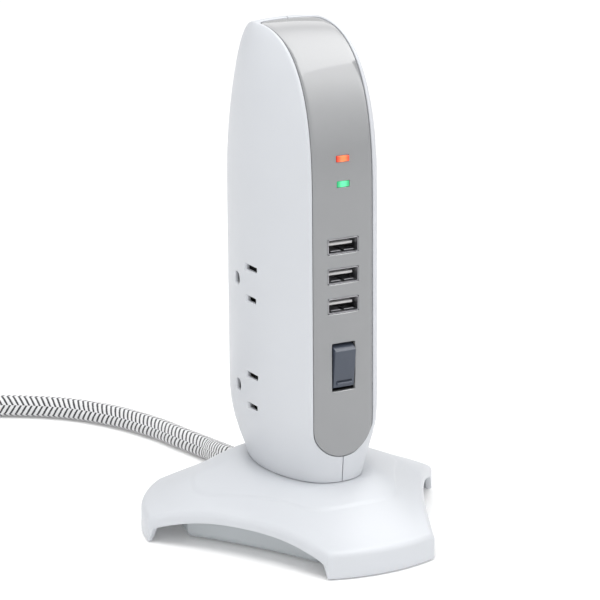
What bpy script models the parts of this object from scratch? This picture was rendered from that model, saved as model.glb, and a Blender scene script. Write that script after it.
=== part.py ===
"""Tower power strip on a three-footed weighted base.

Metres, +Z up. The front panel faces -Y and the left side is -X. The origin lies on the floor
under the middle of the object's own footprint, leaving out the mains lead behind it.
"""

import math

import bmesh
import bpy
from mathutils import Matrix, Vector

for item in list(bpy.data.objects):
    bpy.data.objects.remove(item)

GAP = 0.0003

# Base: a disc with three feet, hollowed between them by three wide arcs
FOOT_RADIUS = 0.0666
FOOT_HALF_ANGLE = math.radians(21)
FOOT_ANGLES = [math.radians(a) for a in (-90, 30, 150)]
SCALLOP_SAG = 0.0039
SKIRT_TOP = 0.027
SKIRT_SEAT_HALF = 0.0205
SKIRT_SEAT_REACH = 0.0318
SKIRT_FOOT_EDGE = 0.0105
SKIRT_SCALLOP_EDGE = 0.0163
SKIRT_TIP = 0.0005
ARCH_START = 0.0054
ARCH_EDGE = 0.0123
SKIRT_WALL = 0.0022
CABLE_HOLE_RADIUS = 0.009
TUB_RADIUS = 0.051
TUB_INSET = 0.0084
TUB_TOP = 0.0145
TUB_BOTTOM = 0.001
TUB_WALL = 0.002
PAD_RADIUS = 0.0055
PAD_HEIGHT = 0.0013
PAD_AT = 0.0435
BASE_SCREW_AT = 0.033
POST_RADIUS = 0.0034
BALLAST_RADIUS = 0.0265
BALLAST_HEIGHT = 0.005

# The footprint's middle is the origin, so the disc's centre lies a little behind it
BASE_Y = FOOT_RADIUS * (1 - math.sin(math.radians(30) + FOOT_HALF_ANGLE)) / 2

# Tower, measured from the disc's centre line: an upright lens with a domed top
TOWER_FRONT = -0.032
TOWER_BACK = 0.0355
TOWER_BOTTOM = SKIRT_TOP + GAP
TOWER_TOP = 0.2055
APEX_Y = 0.014
SPRING_Z = 0.140
FRONT_POWER = 2.65
BACK_POWER = 1.9
RIM_HALF = 0.0150
RIM_HALF_TOP = 0.0145
BULGE = 0.0115
CROWN = 0.0009
CHIN_Z = 0.060
CHIN_HEIGHT = 0.040
CHIN_DEPTH = 0.018
CHIN_LEAN = 0.22
HOUSING_WALL = 0.0024
LEDGE = 0.0012
SEAM = 0.0002

# Front panel
PANEL_HALF = 0.0131
PANEL_CORNER_Z = 0.0512
PANEL_END_Y = 0.0115
PANEL_THICK = 0.0016
PANEL_SINK = 0.0004
PANEL_FACE = TOWER_FRONT - CROWN + PANEL_SINK

# What the panel carries, as heights above the floor
LED_Z = {"red": 0.1581, "green": 0.1482}
LED_SIZE = (0.0054, 0.0023)
USB_Z = [0.1237, 0.1118, 0.0999]
USB_OPENING = (0.0125, 0.0051)
USB_SHELL_WALL = 0.0003
USB_DEPTH = 0.0135
ROCKER_Z = 0.0750
ROCKER_OPENING = (0.0102, 0.0194)

# Outlets on each side
OUTLET_Z = [0.1052, 0.0612]
SLOT_Y = -0.0045
SLOT_PITCH = 0.0127
GROUND_BEHIND = 0.0119
NEUTRAL_SLOT = 0.0081
HOT_SLOT = 0.0066
SLOT_WIDTH = 0.0021
GROUND_WIDTH = 0.0050
SIDE_HALF = RIM_HALF + BULGE

# Mains lead
CORD_DIAMETER = 0.0095
CORD_REST = 0.0050
RELIEF_HEIGHT = 0.0088
RELIEF_LENGTH = 0.024
RELIEF_RADIUS = 0.0063
RELIEF_NECK = 0.0047
RELIEF_COLLAR = 0.0054
COIL_CENTRE = (-0.146, 0.165)
COIL_OUTER = 0.0585
COIL_INNER = 0.0390
COIL_HEIGHT = 0.0285
PLUG_CENTRE = (-0.160, 0.052)

MODEL = bpy.data.collections.new("tower_power_strip")
CUTTERS = bpy.data.collections.new("cutters")
for group in (MODEL, CUTTERS):
    bpy.context.scene.collection.children.link(group)


# ---------------------------------------------------------------- helpers

def material(name, colour, roughness, metallic=0.0):
    """One Principled finish."""
    made = bpy.data.materials.get(name) or bpy.data.materials.new(name)
    made.use_nodes = True
    shader = made.node_tree.nodes["Principled BSDF"]
    shader.inputs["Base Color"].default_value = (*colour, 1.0)
    shader.inputs["Roughness"].default_value = roughness
    shader.inputs["Metallic"].default_value = metallic
    return made


WHITE_ABS = material("white_abs", (0.82, 0.84, 0.86), 0.42)
GREY_ABS = material("grey_abs", (0.42, 0.44, 0.45), 0.50)
GLOSS_GREY = material("gloss_grey", (0.36, 0.37, 0.38), 0.12)
RED_LENS = material("red_lens", (0.80, 0.10, 0.03), 0.20)
GREEN_LENS = material("green_lens", (0.05, 0.55, 0.22), 0.20)
SLATE = material("slate", (0.11, 0.13, 0.16), 0.35)
BLACK_NYLON = material("black_nylon", (0.03, 0.03, 0.03), 0.55)
CREAM_NYLON = material("cream_nylon", (0.75, 0.72, 0.62), 0.60)
STEEL = material("steel", (0.60, 0.60, 0.62), 0.30, 1.0)
BRASS = material("brass", (0.70, 0.52, 0.24), 0.30, 1.0)
BOARD = material("board", (0.04, 0.20, 0.10), 0.50)
CERAMIC = material("ceramic", (0.10, 0.22, 0.50), 0.45)
YELLOW_FILM = material("yellow_film", (0.75, 0.60, 0.12), 0.45)
RUBBER = material("rubber", (0.05, 0.05, 0.05), 0.85)
BRAID = material("braid", (0.70, 0.70, 0.70), 0.80)


def node(name, mesh, finish, place=(0, 0, 0), cutter=False):
    """Put a mesh in the scene as a named part, or as a cutter."""
    made = bpy.data.objects.new(name, mesh)
    made.location = place
    if cutter:
        CUTTERS.objects.link(made)
        made.hide_render = True
        made.display_type = "WIRE"
    else:
        MODEL.objects.link(made)
        mesh.materials.append(finish)
    return made


def mesh_from(name, build):
    """A mesh filled by a function that works on a BMesh."""
    work = bmesh.new()
    build(work)
    bmesh.ops.recalc_face_normals(work, faces=work.faces)
    mesh = bpy.data.meshes.new(name)
    work.to_mesh(mesh)
    work.free()
    return mesh


def box_mesh(name, size, centre=(0, 0, 0), turn=None):
    """A rectangular block."""
    def build(work):
        moved = Matrix.Translation(centre) @ (turn or Matrix()) @ Matrix.Diagonal((*size, 1))
        bmesh.ops.create_cube(work, size=1.0, matrix=moved)
    return mesh_from(name, build)


def rod_mesh(name, radius, start, end, far_radius=None, segments=24):
    """A cylinder or cone between two points."""
    axis = Vector(end) - Vector(start)
    turn = axis.to_track_quat("Z", "Y").to_matrix().to_4x4()
    middle = Matrix.Translation((Vector(start) + Vector(end)) / 2)

    def build(work):
        bmesh.ops.create_cone(
            work, cap_ends=True, segments=segments, radius1=radius,
            radius2=radius if far_radius is None else far_radius,
            depth=axis.length, matrix=middle @ turn)
    return mesh_from(name, build)


def block(name, size, centre, finish, bevel=0.0):
    """A rectangular part, with softened edges if asked."""
    made = node(name, box_mesh(name, size), finish, centre)
    if bevel:
        soften(made, bevel)
    return made


def cut_box(name, size, centre):
    return node(name, box_mesh(name, size, centre), None, cutter=True)


def cut_rod(name, radius, start, end, far_radius=None, segments=24):
    return node(name, rod_mesh(name, radius, start, end, far_radius, segments), None, cutter=True)


def soften(made, width, segments=2):
    """Round the sharp edges of a part."""
    bevel = made.modifiers.new("edges", "BEVEL")
    bevel.width = width
    bevel.segments = segments
    bevel.limit_method = "ANGLE"
    bevel.angle_limit = math.radians(40)


def carve(made, *cutters, operation="DIFFERENCE"):
    """Cut, join or keep the common part with each given object."""
    for cutter in cutters:
        step = made.modifiers.new(cutter.name, "BOOLEAN")
        step.operation = operation
        step.object = cutter
        step.solver = "EXACT"
    return made


def weld(made, reach=0.00004):
    """Close the hairline slivers that cuts through curved walls leave."""
    step = made.modifiers.new("weld", "WELD")
    step.merge_threshold = reach


def joined(name, pieces, finish):
    """One part made of several overlapping blocks, as (size, centre) pairs."""
    size, centre = pieces[0]
    made = node(name, box_mesh(name, size, centre), finish)
    for number, (size, centre) in enumerate(pieces[1:]):
        add = cut_box(f"{name}_add_{number}", size, centre)
        carve(made, add, operation="UNION")
    return made


def turned(name, profile, finish, centre, axis="Z", steps=28, ring=False):
    """A Screw solid; the profile is (radius, height) pairs from the top down the outer side."""
    def build(work):
        points = [work.verts.new((radius, 0, height)) for radius, height in profile]
        for first, second in zip(points, points[1:]):
            work.edges.new((first, second))
        if ring:
            work.edges.new((points[-1], points[0]))
    made = node(name, mesh_from(name, build), finish, centre)
    screw = made.modifiers.new("turn", "SCREW")
    screw.steps = steps
    screw.render_steps = steps
    screw.use_merge_vertices = True
    screw.merge_threshold = 0.00001
    if axis == "Y":
        made.rotation_euler = (math.radians(-90), 0, 0)
    return made


# ---------------------------------------------------------------- base

CHORD_HALF = FOOT_RADIUS * math.sin(math.radians(60) - FOOT_HALF_ANGLE)
CHORD_AT = FOOT_RADIUS * math.cos(math.radians(60) - FOOT_HALF_ANGLE)
SCALLOP_RADIUS = (CHORD_HALF ** 2 + SCALLOP_SAG ** 2) / (2 * SCALLOP_SAG)
SCALLOP_CENTRE = CHORD_AT - SCALLOP_SAG + SCALLOP_RADIUS


def tripod(foot_radius, inset, foot_steps=6, gap_steps=8):
    """The three-footed outline, its hollow arcs moved in by the inset."""
    reach = SCALLOP_RADIUS + inset
    cosine = (SCALLOP_CENTRE ** 2 + foot_radius ** 2 - reach ** 2) / (2 * SCALLOP_CENTRE * foot_radius)
    half_foot = math.radians(60) - math.acos(cosine)
    half_gap = math.asin(foot_radius * math.sin(math.acos(cosine)) / reach)
    outline = []
    for foot in FOOT_ANGLES:
        for step in range(foot_steps):
            angle = foot - half_foot + 2 * half_foot * step / foot_steps
            outline.append((foot_radius * math.cos(angle), foot_radius * math.sin(angle)))
        side = foot + math.radians(60)
        for step in range(gap_steps):
            angle = half_gap - 2 * half_gap * step / gap_steps
            away = SCALLOP_CENTRE - reach * math.cos(angle)
            along = reach * math.sin(angle)
            outline.append((away * math.cos(side) + along * math.sin(side),
                            away * math.sin(side) - along * math.cos(side)))
    return outline


def from_scallop(x, y):
    """How far a point lies inside the nearest hollow arc."""
    gaps = []
    for foot in FOOT_ANGLES:
        side = foot + math.radians(60)
        middle = Vector((SCALLOP_CENTRE * math.cos(side), SCALLOP_CENTRE * math.sin(side)))
        gaps.append((Vector((x, y)) - middle).length - SCALLOP_RADIUS)
    return min(gaps)


def seat_radius(x, y):
    """Radius of the flat seat under the tower, in the direction of a point."""
    away = math.hypot(x, y)
    return ((abs(x) / away / SKIRT_SEAT_HALF) ** 3 + (abs(y) / away / SKIRT_SEAT_REACH) ** 3) ** (-1 / 3)


def skirt_height(x, y):
    """Height of the skirt's top: flat under the tower, falling to the feet and to the arcs."""
    radius = math.hypot(x, y)
    seat = seat_radius(x, y)
    beyond = max(0.0, radius - seat)
    dome = SKIRT_TOP - (SKIRT_TOP - SKIRT_FOOT_EDGE) * (beyond / (FOOT_RADIUS - seat)) ** 1.7
    low = CHORD_AT - SCALLOP_SAG
    share = min(1.0, max(0.0, (radius - low) / (FOOT_RADIUS - low))) ** 1.3
    edge = SKIRT_SCALLOP_EDGE + (SKIRT_FOOT_EDGE - SKIRT_SCALLOP_EDGE) * share
    inside = max(0.0, from_scallop(x, y))
    roll = inside / (inside + beyond) if beyond else 1.0
    return edge + (max(dome, edge) - edge) * (1 - (1 - roll) ** 1.8)


def flange_height(x, y):
    """Height of the skirt's lower edge: down to the floor at the feet, arched between them."""
    inward = max(0.0, FOOT_RADIUS - math.hypot(x, y)) / (FOOT_RADIUS - CHORD_AT + SCALLOP_SAG)
    leg = math.sin(min(1.0, inward / 0.12) * math.pi / 2) ** 0.7
    arch = 1 - (1 - min(1.0, inward)) ** 1.3
    return SKIRT_TIP + (ARCH_START - SKIRT_TIP) * leg + (ARCH_EDGE - ARCH_START) * arch


def skirt_rings():
    """Rings of points from the lower edge, up the flange and in to the cable hole."""
    outer = tripod(FOOT_RADIUS, 0.0)
    rings = [[(x, y, flange_height(x, y)) for x, y in outer]]
    rings.append([(x, y, skirt_height(x, y) - 0.0015) for x, y in outer])
    for inset in (0.0008, 0.0028, 0.006, 0.011):
        rings.append([(x, y, skirt_height(x, y)) for x, y in tripod(FOOT_RADIUS - inset, inset)])
    last = [(x, y) for x, y, _ in rings[-1]]
    for share in (0.62, 0.30, 0.0):
        ring = []
        for x, y in last:
            radius = math.hypot(x, y)
            seat = seat_radius(x, y)
            scale = (seat + (radius - seat) * share) / radius
            ring.append((x * scale, y * scale, skirt_height(x * scale, y * scale)))
        rings.append(ring)
    rings.append([(x * CABLE_HOLE_RADIUS / math.hypot(x, y), y * CABLE_HOLE_RADIUS / math.hypot(x, y),
                   SKIRT_TOP) for x, y in last])
    return rings


def loft(work, rings):
    """Quads between rings of equal length."""
    rows = [[work.verts.new(point) for point in ring] for ring in rings]
    count = len(rows[0])
    for low, high in zip(rows, rows[1:]):
        for i in range(count):
            work.faces.new((low[i], low[(i + 1) % count], high[(i + 1) % count], high[i]))
    return rows


def skirt_boss(name, x, y, low, high, radius):
    return cut_rod(name, radius, (x, BASE_Y + y, low), (x, BASE_Y + y, high), segments=12)


def polar(radius, angle):
    return radius * math.cos(angle), radius * math.sin(angle)


TOWER_SCREWS = [(-0.0110, -0.0140), (0.0110, -0.0140), (-0.0110, 0.0165), (0.0110, 0.0165)]


def base_skirt():
    """White domed cover with turned-down edges, and posts inside for the tub's screws."""
    made = node("base_skirt", mesh_from("base_skirt", lambda work: loft(work, skirt_rings())),
                WHITE_ABS, (0, BASE_Y, 0))
    shell = made.modifiers.new("wall", "SOLIDIFY")
    shell.thickness = SKIRT_WALL
    shell.offset = -1.0
    shell.use_even_offset = False
    for number, foot in enumerate(FOOT_ANGLES):
        x, y = polar(BASE_SCREW_AT, foot)
        high = skirt_height(*polar(BASE_SCREW_AT + POST_RADIUS, foot)) - SKIRT_WALL * 0.7
        carve(made, skirt_boss(f"skirt_post_{number}", x, y, 0.0044, high, POST_RADIUS),
              operation="UNION")
        carve(made, skirt_boss(f"skirt_post_bore_{number}", x, y, -0.001, 0.0135, 0.0013))
    for number, (x, y) in enumerate(TOWER_SCREWS):
        carve(made, skirt_boss(f"seat_bore_{number}", x, y, 0.018, 0.032, 0.0017))
    carve(made, cut_rod("cord_notch", RELIEF_RADIUS + 0.0006,
                        (0, BASE_Y + 0.0380, RELIEF_HEIGHT), (0, BASE_Y + 0.0540, RELIEF_HEIGHT)))
    carve(made, cut_box("cord_notch_foot", (2 * RELIEF_RADIUS + 0.0012, 0.016, 0.012),
                        (0, BASE_Y + 0.046, RELIEF_HEIGHT - 0.006)))
    weld(made)


def tub_rings():
    """Outer wall of the tub, with a rounded lower edge, closed across the bottom."""
    rings = []
    turn = 0.0030
    for step in range(4):
        angle = math.radians(90) * step / 3
        pull = turn * (1 - math.sin(angle))
        height = TUB_BOTTOM + turn * (1 - math.cos(angle))
        rings.append([(x, y, height) for x, y in tripod(TUB_RADIUS - pull, TUB_INSET + pull)])
    rings.append([(x, y, TUB_TOP) for x, y in tripod(TUB_RADIUS, TUB_INSET)])
    return rings


def base_tub():
    """Grey tray that closes the base from below and carries the ballast."""
    def build(work):
        rows = loft(work, tub_rings())
        work.faces.new(list(reversed(rows[0])))
    made = node("base_tub", mesh_from("base_tub", build), GREY_ABS, (0, BASE_Y, 0))
    shell = made.modifiers.new("wall", "SOLIDIFY")
    shell.thickness = TUB_WALL
    shell.offset = -1.0
    shell.use_even_offset = False
    for number, foot in enumerate(FOOT_ANGLES):
        x, y = polar(BASE_SCREW_AT, foot)
        carve(made, skirt_boss(f"tub_bore_{number}", x, y, -0.002, 0.006, 0.0019))
        carve(made, skirt_boss(f"tub_head_{number}", x, y, -0.002, 0.0020, 0.0036))
        x, y = polar(PAD_AT, foot)
        carve(made, skirt_boss(f"tub_pad_{number}", x, y, -0.002, PAD_HEIGHT + GAP, PAD_RADIUS + GAP))
    carve(made, cut_rod("tub_gland", RELIEF_NECK + GAP,
                        (0, BASE_Y + 0.025, RELIEF_HEIGHT), (0, BASE_Y + 0.045, RELIEF_HEIGHT)))
    weld(made)


def rubber_pads():
    """Three anti-slip pads let into the underside of the tub."""
    for number, foot in enumerate(FOOT_ANGLES, 1):
        x, y = polar(PAD_AT, foot)
        rim = PAD_RADIUS
        profile = [(0, PAD_HEIGHT), (rim, PAD_HEIGHT), (rim, 0.0004), (rim - 0.0004, 0), (0, 0)]
        turned(f"rubber_pad_{number}", profile, RUBBER, (x, BASE_Y + y, 0), steps=24)


def ballast_plate():
    """Steel disc that keeps the tower from tipping."""
    low = TUB_BOTTOM + TUB_WALL + GAP
    profile = [(0, BALLAST_HEIGHT), (BALLAST_RADIUS, BALLAST_HEIGHT), (BALLAST_RADIUS, 0), (0, 0)]
    turned("ballast_plate", profile, STEEL, (0, BASE_Y, low), steps=32)


def screw(name, tip, head_at, head_radius=0.0030, shank=0.0010, head=0.0014, segments=10):
    """A pan-head screw from its head to its tip, along one straight line."""
    tip = Vector(tip)
    head_at = Vector(head_at)
    along = tip - head_at
    turn = along.to_track_quat("Z", "Y")
    length = along.length
    profile = [(0, length), (shank * 0.5, length), (shank, length - 0.0012), (shank, head),
               (head_radius, head), (head_radius * 0.85, 0.0002), (0, 0)]
    made = turned(name, profile, STEEL, head_at, steps=segments)
    made.rotation_mode = "QUATERNION"
    made.rotation_quaternion = turn
    return made


def base_screws():
    """Screws that hold the tub to the skirt, and the tower to the skirt."""
    for number, foot in enumerate(FOOT_ANGLES, 1):
        x, y = polar(BASE_SCREW_AT, foot)
        screw(f"tub_screw_{number}", (x, BASE_Y + y, 0.0125), (x, BASE_Y + y, 0.0005))
    for number, (x, y) in enumerate(TOWER_SCREWS, 1):
        top = SKIRT_TOP - SKIRT_WALL
        screw(f"tower_screw_{number}", (x, BASE_Y + y, top + 0.0105), (x, BASE_Y + y, top - 0.0018),
              shank=0.0012)


# ---------------------------------------------------------------- tower shape

def chin(z):
    """How far the lower end of the tower draws in at a height."""
    drop = max(0.0, (CHIN_Z - z) / CHIN_HEIGHT)
    return CHIN_DEPTH * (1 - math.sqrt(1 - drop ** 2))


def tower_rows(inset, low, rows_up=7, rows_over=11):
    """Front edge, back edge, rim half-width and swell for each row, from the bottom to the apex."""
    rows = []
    ledge = inset + (LEDGE if inset else 0.0)
    for step in range(rows_up):
        share = step / rows_up
        z = low + (SPRING_Z - low) * (1 - (1 - share) ** 1.4)
        pull = chin(max(z, TOWER_BOTTOM))
        front = Vector((TOWER_FRONT + ledge + CHIN_LEAN * pull, z))
        back = Vector((TOWER_BACK - inset - 0.6 * pull, z))
        rows.append((front, back, RIM_HALF - inset - 0.6 * pull, BULGE - 0.35 * pull))
    for step in range(rows_over + 1):
        angle = math.radians(90) * step / rows_over
        across = max(0.0, math.cos(angle))
        up = math.sin(angle)
        height = TOWER_TOP - ledge - SPRING_Z
        front = Vector((APEX_Y - (APEX_Y - TOWER_FRONT - ledge) * across ** (2 / FRONT_POWER),
                        SPRING_Z + height * up ** (2 / FRONT_POWER)))
        back = Vector((APEX_Y + (TOWER_BACK - inset - APEX_Y) * across ** (2 / BACK_POWER),
                       SPRING_Z + height * up ** (2 / BACK_POWER)))
        chord = (back - front).length / (TOWER_BACK - TOWER_FRONT)
        rim = RIM_HALF + (RIM_HALF_TOP - RIM_HALF) * up - inset
        rows.append((front, back, rim, BULGE * min(1.0, chord) ** 1.7))
    return rows


def outward(rows, index, side):
    """Direction out of the front (0) or back (1) edge in the side view."""
    before = rows[max(0, index - 1)][side]
    after = rows[min(len(rows) - 1, index + 1)][side]
    run = (after - before).normalized()
    return Vector((-run.y, run.x)) if side == 0 else Vector((run.y, -run.x))


def ring_of(rows, index, band_steps, wall_steps):
    """Half of one ring around the tower, from the front seam to the back seam, on the left."""
    front, back, rim, swell = rows[index]
    points = []
    for step in range(band_steps + 1):
        share = step / band_steps
        at = front + outward(rows, index, 0) * CROWN * (1 - share ** 2)
        points.append((-rim * share, at.x, at.y))
    for step in range(1, wall_steps):
        share = step / wall_steps
        at = front.lerp(back, share)
        points.append((-rim - swell * (1 - (2 * share - 1) ** 2), at.x, at.y))
    for step in range(band_steps + 1):
        share = 1 - step / band_steps
        at = back + outward(rows, index, 1) * CROWN * (1 - share ** 2)
        points.append((-rim * share, at.x, at.y))
    return points


def tower_solid(name, inset, low, band_steps=3, wall_steps=8):
    """The whole outer form as a closed solid, drawn in by the inset."""
    rows = tower_rows(inset, low)

    def build(work):
        rings = []
        for index in range(len(rows)):
            half = ring_of(rows, index, band_steps, wall_steps)
            rings.append(half + [(-x, y, z) for x, y, z in reversed(half[1:-1])])
        made = loft(work, rings)
        work.faces.new(list(reversed(made[0])))
        bmesh.ops.remove_doubles(work, verts=work.verts, dist=0.00002)
        bmesh.ops.dissolve_degenerate(work, dist=0.00001, edges=work.edges)
        bmesh.ops.holes_fill(work, edges=[e for e in work.edges if e.is_boundary], sides=0)
    return node(name, mesh_from(name, build), None, (0, BASE_Y, 0), cutter=True)


def front_line(out, last_y):
    """The middle line of the front face from the bottom, over the top, to a given depth."""
    rows = tower_rows(0.0, TOWER_BOTTOM, rows_up=5, rows_over=14)
    line = []
    for index, row in enumerate(rows):
        at = row[0] + outward(rows, index, 0) * out
        if at.x > last_y:
            before = line[-1]
            share = (last_y - before.x) / (at.x - before.x)
            line.append(before.lerp(at, share))
            break
        line.append(at)
    return line


def panel_strip(name, grow, out, depth, cutter=True):
    """A strip that follows the front face, round at its lower end, as thick as asked."""
    half = PANEL_HALF + grow
    turns = 7
    path = []
    widths = []
    for step in range(turns):
        angle = math.radians(90) * (step + 0.5) / (turns - 0.5)
        z = PANEL_CORNER_Z - half * math.cos(angle)
        path.append(Vector((TOWER_FRONT + CHIN_LEAN * chin(z) - out, z)))
        widths.append(half * math.sin(angle))
    above = [at for at in front_line(out, PANEL_END_Y + grow) if at.y > PANEL_CORNER_Z + 0.001]
    path += above
    widths += [half] * len(above)
    across = 4

    def build(work):
        rings = []
        for index, (at, wide) in enumerate(zip(path, widths)):
            run = path[min(index + 1, len(path) - 1)] - path[max(index - 1, 0)]
            normal = Vector((-run.y, run.x)).normalized()
            front = []
            back = []
            for step in range(across + 1):
                x = wide * (2 * step / across - 1)
                spot = at + normal * CROWN * (1 - (x / RIM_HALF) ** 2)
                under = spot - normal * depth
                front.append((x, spot.x, spot.y))
                back.append((x, under.x, under.y))
            rings.append(front + back[::-1])
        rows = loft(work, rings)
        work.faces.new(rows[0])
        work.faces.new(rows[-1][::-1])
    return node(name, mesh_from(name, build), GLOSS_GREY, (0, BASE_Y, 0), cutter=cutter)


# ---------------------------------------------------------------- housing

HOUSING_SCREWS = [(0.0240, 0.0480), (-0.0190, 0.0400), (0.0235, 0.1450)]


def side_reach(y, z):
    """Half the tower's width at a place on its side, below the dome."""
    pull = chin(z)
    low = TOWER_FRONT + CHIN_LEAN * pull
    high = TOWER_BACK - 0.6 * pull
    share = (y - low) / (high - low)
    return RIM_HALF - 0.6 * pull + (BULGE - 0.35 * pull) * (1 - (2 * share - 1) ** 2)


def outlet_cutters(side, label):
    """Two blade slots and a round ground hole for each outlet on one side."""
    made = []
    middle = side * (SIDE_HALF - 0.001)
    for number, z in enumerate(OUTLET_Z):
        for kind, length, lift in (("neutral", NEUTRAL_SLOT, 1), ("hot", HOT_SLOT, -1)):
            made.append(cut_box(f"{label}_{kind}_{number}", (0.012, length, SLOT_WIDTH),
                                (middle, BASE_Y + SLOT_Y, z + lift * SLOT_PITCH / 2)))
        ground_y = BASE_Y + SLOT_Y + GROUND_BEHIND
        made.append(cut_rod(f"{label}_ground_{number}", GROUND_WIDTH / 2,
                            (middle - 0.006, ground_y, z), (middle + 0.006, ground_y, z), segments=12))
    return made


def housing(name, side, outer, inner):
    """One half of the tower's shell, with bosses for the screws along the seam."""
    made = node(name, outer.data.copy(), WHITE_ABS, (0, BASE_Y, 0))
    made.data.materials.clear()
    made.data.materials.append(WHITE_ABS)
    carve(made, inner)
    reach = 0.040
    for number, (y, z) in enumerate(HOUSING_SCREWS):
        start = side * (side_reach(y, min(z, SPRING_Z)) - HOUSING_WALL / 2)
        post = cut_rod(f"{name}_post_{number}", 0.0036, (start, BASE_Y + y, z), (0, BASE_Y + y, z),
                       segments=12)
        carve(made, post, operation="UNION")
        bore = 0.0012 if side < 0 else 0.0016
        end = 0.0135 * side if side < 0 else side * reach
        carve(made, cut_rod(f"{name}_bore_{number}", bore, (end, BASE_Y + y, z),
                            (-side * 0.002, BASE_Y + y, z), segments=14))
        if side > 0:
            carve(made, cut_rod(f"{name}_well_{number}", 0.0033, (0.0085, BASE_Y + y, z),
                                (reach, BASE_Y + y, z), segments=12))
    for number, (x, y) in enumerate(TOWER_SCREWS):
        if x * side > 0:
            foot = cut_rod(f"{name}_foot_{number}", POST_RADIUS, (x, BASE_Y + y, TOWER_BOTTOM),
                           (x, BASE_Y + y, TOWER_BOTTOM + 0.011), segments=12)
            wall = side * (side_reach(y, TOWER_BOTTOM) - HOUSING_WALL / 2)
            web = cut_box(f"{name}_web_{number}", (abs(wall - x), 0.0016, 0.009),
                          ((x + wall) / 2, BASE_Y + y, TOWER_BOTTOM + 0.0055))
            carve(made, foot, web, operation="UNION")
            carve(made, cut_rod(f"{name}_foot_bore_{number}", 0.0015, (x, BASE_Y + y, 0.020),
                                (x, BASE_Y + y, TOWER_BOTTOM + 0.0095), segments=14))
    carve(made, *[bpy.data.objects[cut] for cut in ("panel_recess", "panel_opening")])
    carve(made, *outlet_cutters(side, name))
    carve(made, cut_box(f"{name}_seam", (0.06, 0.12, 0.24), (-side * (0.03 - SEAM), BASE_Y, 0.12)))
    carve(made, cut_box(f"{name}_base", (0.12, 0.12, 0.02), (0, BASE_Y, TOWER_BOTTOM - 0.01)))
    weld(made)


def housings():
    """Left and right halves, cut from the same outer form."""
    outer = tower_solid("tower_outer", 0.0, TOWER_BOTTOM - 0.002)
    inner = tower_solid("tower_inner", HOUSING_WALL, TOWER_BOTTOM - 0.006)
    panel_strip("panel_recess", 0.0003, 0.003, 0.003 + PANEL_SINK + PANEL_THICK + 0.0002)
    panel_strip("panel_opening", -0.0016, 0.003, 0.010)
    housing("left_housing", -1, outer, inner)
    housing("right_housing", 1, outer, inner)


def housing_screws():
    """Screws through the right half into the left half's bosses."""
    for number, (y, z) in enumerate(HOUSING_SCREWS, 1):
        screw(f"housing_screw_{number}", (-0.0110, BASE_Y + y, z), (0.0104, BASE_Y + y, z),
              head_radius=0.0028)


# ---------------------------------------------------------------- front panel and what it carries

def front_panel():
    """Glossy grey strip over the front and the top, with its windows and ports cut through."""
    made = panel_strip("front_panel", 0.0, -PANEL_SINK, PANEL_THICK, cutter=False)
    face = BASE_Y + PANEL_FACE
    for colour, z in LED_Z.items():
        carve(made, cut_box(f"window_{colour}", (LED_SIZE[0] + GAP, 0.012, LED_SIZE[1] + GAP),
                            (0, face, z)))
    for number, z in enumerate(USB_Z):
        wide = USB_OPENING[0] + 2 * USB_SHELL_WALL + 0.0006
        tall = USB_OPENING[1] + 2 * USB_SHELL_WALL + 0.0006
        carve(made, cut_box(f"usb_mouth_{number}", (wide, 0.012, tall), (0, face, z)))
    carve(made, cut_box("rocker_mouth", (ROCKER_OPENING[0], 0.012, ROCKER_OPENING[1]),
                        (0, face, ROCKER_Z)))
    weld(made)


def indicator(colour, finish):
    """A moulded lens that fills its window and the lamp on the board behind it."""
    z = LED_Z[colour]
    front = BASE_Y + PANEL_FACE + 0.0001
    depth = 0.0105
    block(f"{colour}_lens", (LED_SIZE[0], depth, LED_SIZE[1]), (0, front + depth / 2, z), finish,
          bevel=0.0002)
    lamp_depth = BOARD_Y - front - depth - 2 * GAP
    block(f"{colour}_lamp", (0.0034, lamp_depth, 0.0020), (0, front + depth + GAP + lamp_depth / 2, z),
          CREAM_NYLON)


BOARD_Y = BASE_Y + PANEL_FACE + 0.0160
BOARD_THICK = 0.0016


def usb_port(number, z):
    """A folded steel shell with its tongue, standing on the board behind the panel."""
    front = BASE_Y + PANEL_FACE + 0.0004
    depth = BOARD_Y - GAP - front
    wide = USB_OPENING[0] + 2 * USB_SHELL_WALL
    tall = USB_OPENING[1] + 2 * USB_SHELL_WALL
    shell = block(f"usb_shell_{number}", (wide, depth, tall), (0, front + depth / 2, z), STEEL)
    carve(shell, cut_box(f"usb_inside_{number}", (USB_OPENING[0], depth, USB_OPENING[1]),
                         (0, front + depth / 2 - 0.0008, z)))
    tongue = (USB_OPENING[0] - 0.0016, depth - 0.0032, 0.0018)
    block(f"usb_tongue_{number}", tongue,
          (0, front + 0.0016 + tongue[1] / 2 + 0.0004, z + 0.0008), CREAM_NYLON, bevel=0.0003)


def control_board():
    """Upright board behind the panel, carrying the ports and the lamps."""
    block("control_board", (0.0200, BOARD_THICK, 0.0720),
          (0, BOARD_Y + BOARD_THICK / 2, (LED_Z["red"] + USB_Z[2]) / 2 - 0.0002), BOARD)


PIVOT_Y = BASE_Y + PANEL_FACE + 0.0047
ROCKER_REACH = 0.0055
ROCKER_RADIUS = 0.0093
ROCKER_HALF = 0.0046
ROCKER_TILT = math.radians(7.5)


def rocker_profile():
    """Side view of the button about its pivot: a flat face with ends rounded about the pivot."""
    first = math.asin(ROCKER_REACH / ROCKER_RADIUS)
    steps = 5
    back = 0.0012
    upper = []
    for step in range(steps + 1):
        angle = first * (1 - step / steps)
        upper.append((-ROCKER_RADIUS * math.sin(angle), ROCKER_RADIUS * math.cos(angle)))
    upper.append((back, ROCKER_RADIUS))
    return upper + [(y, -z) for y, z in reversed(upper)]


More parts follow.
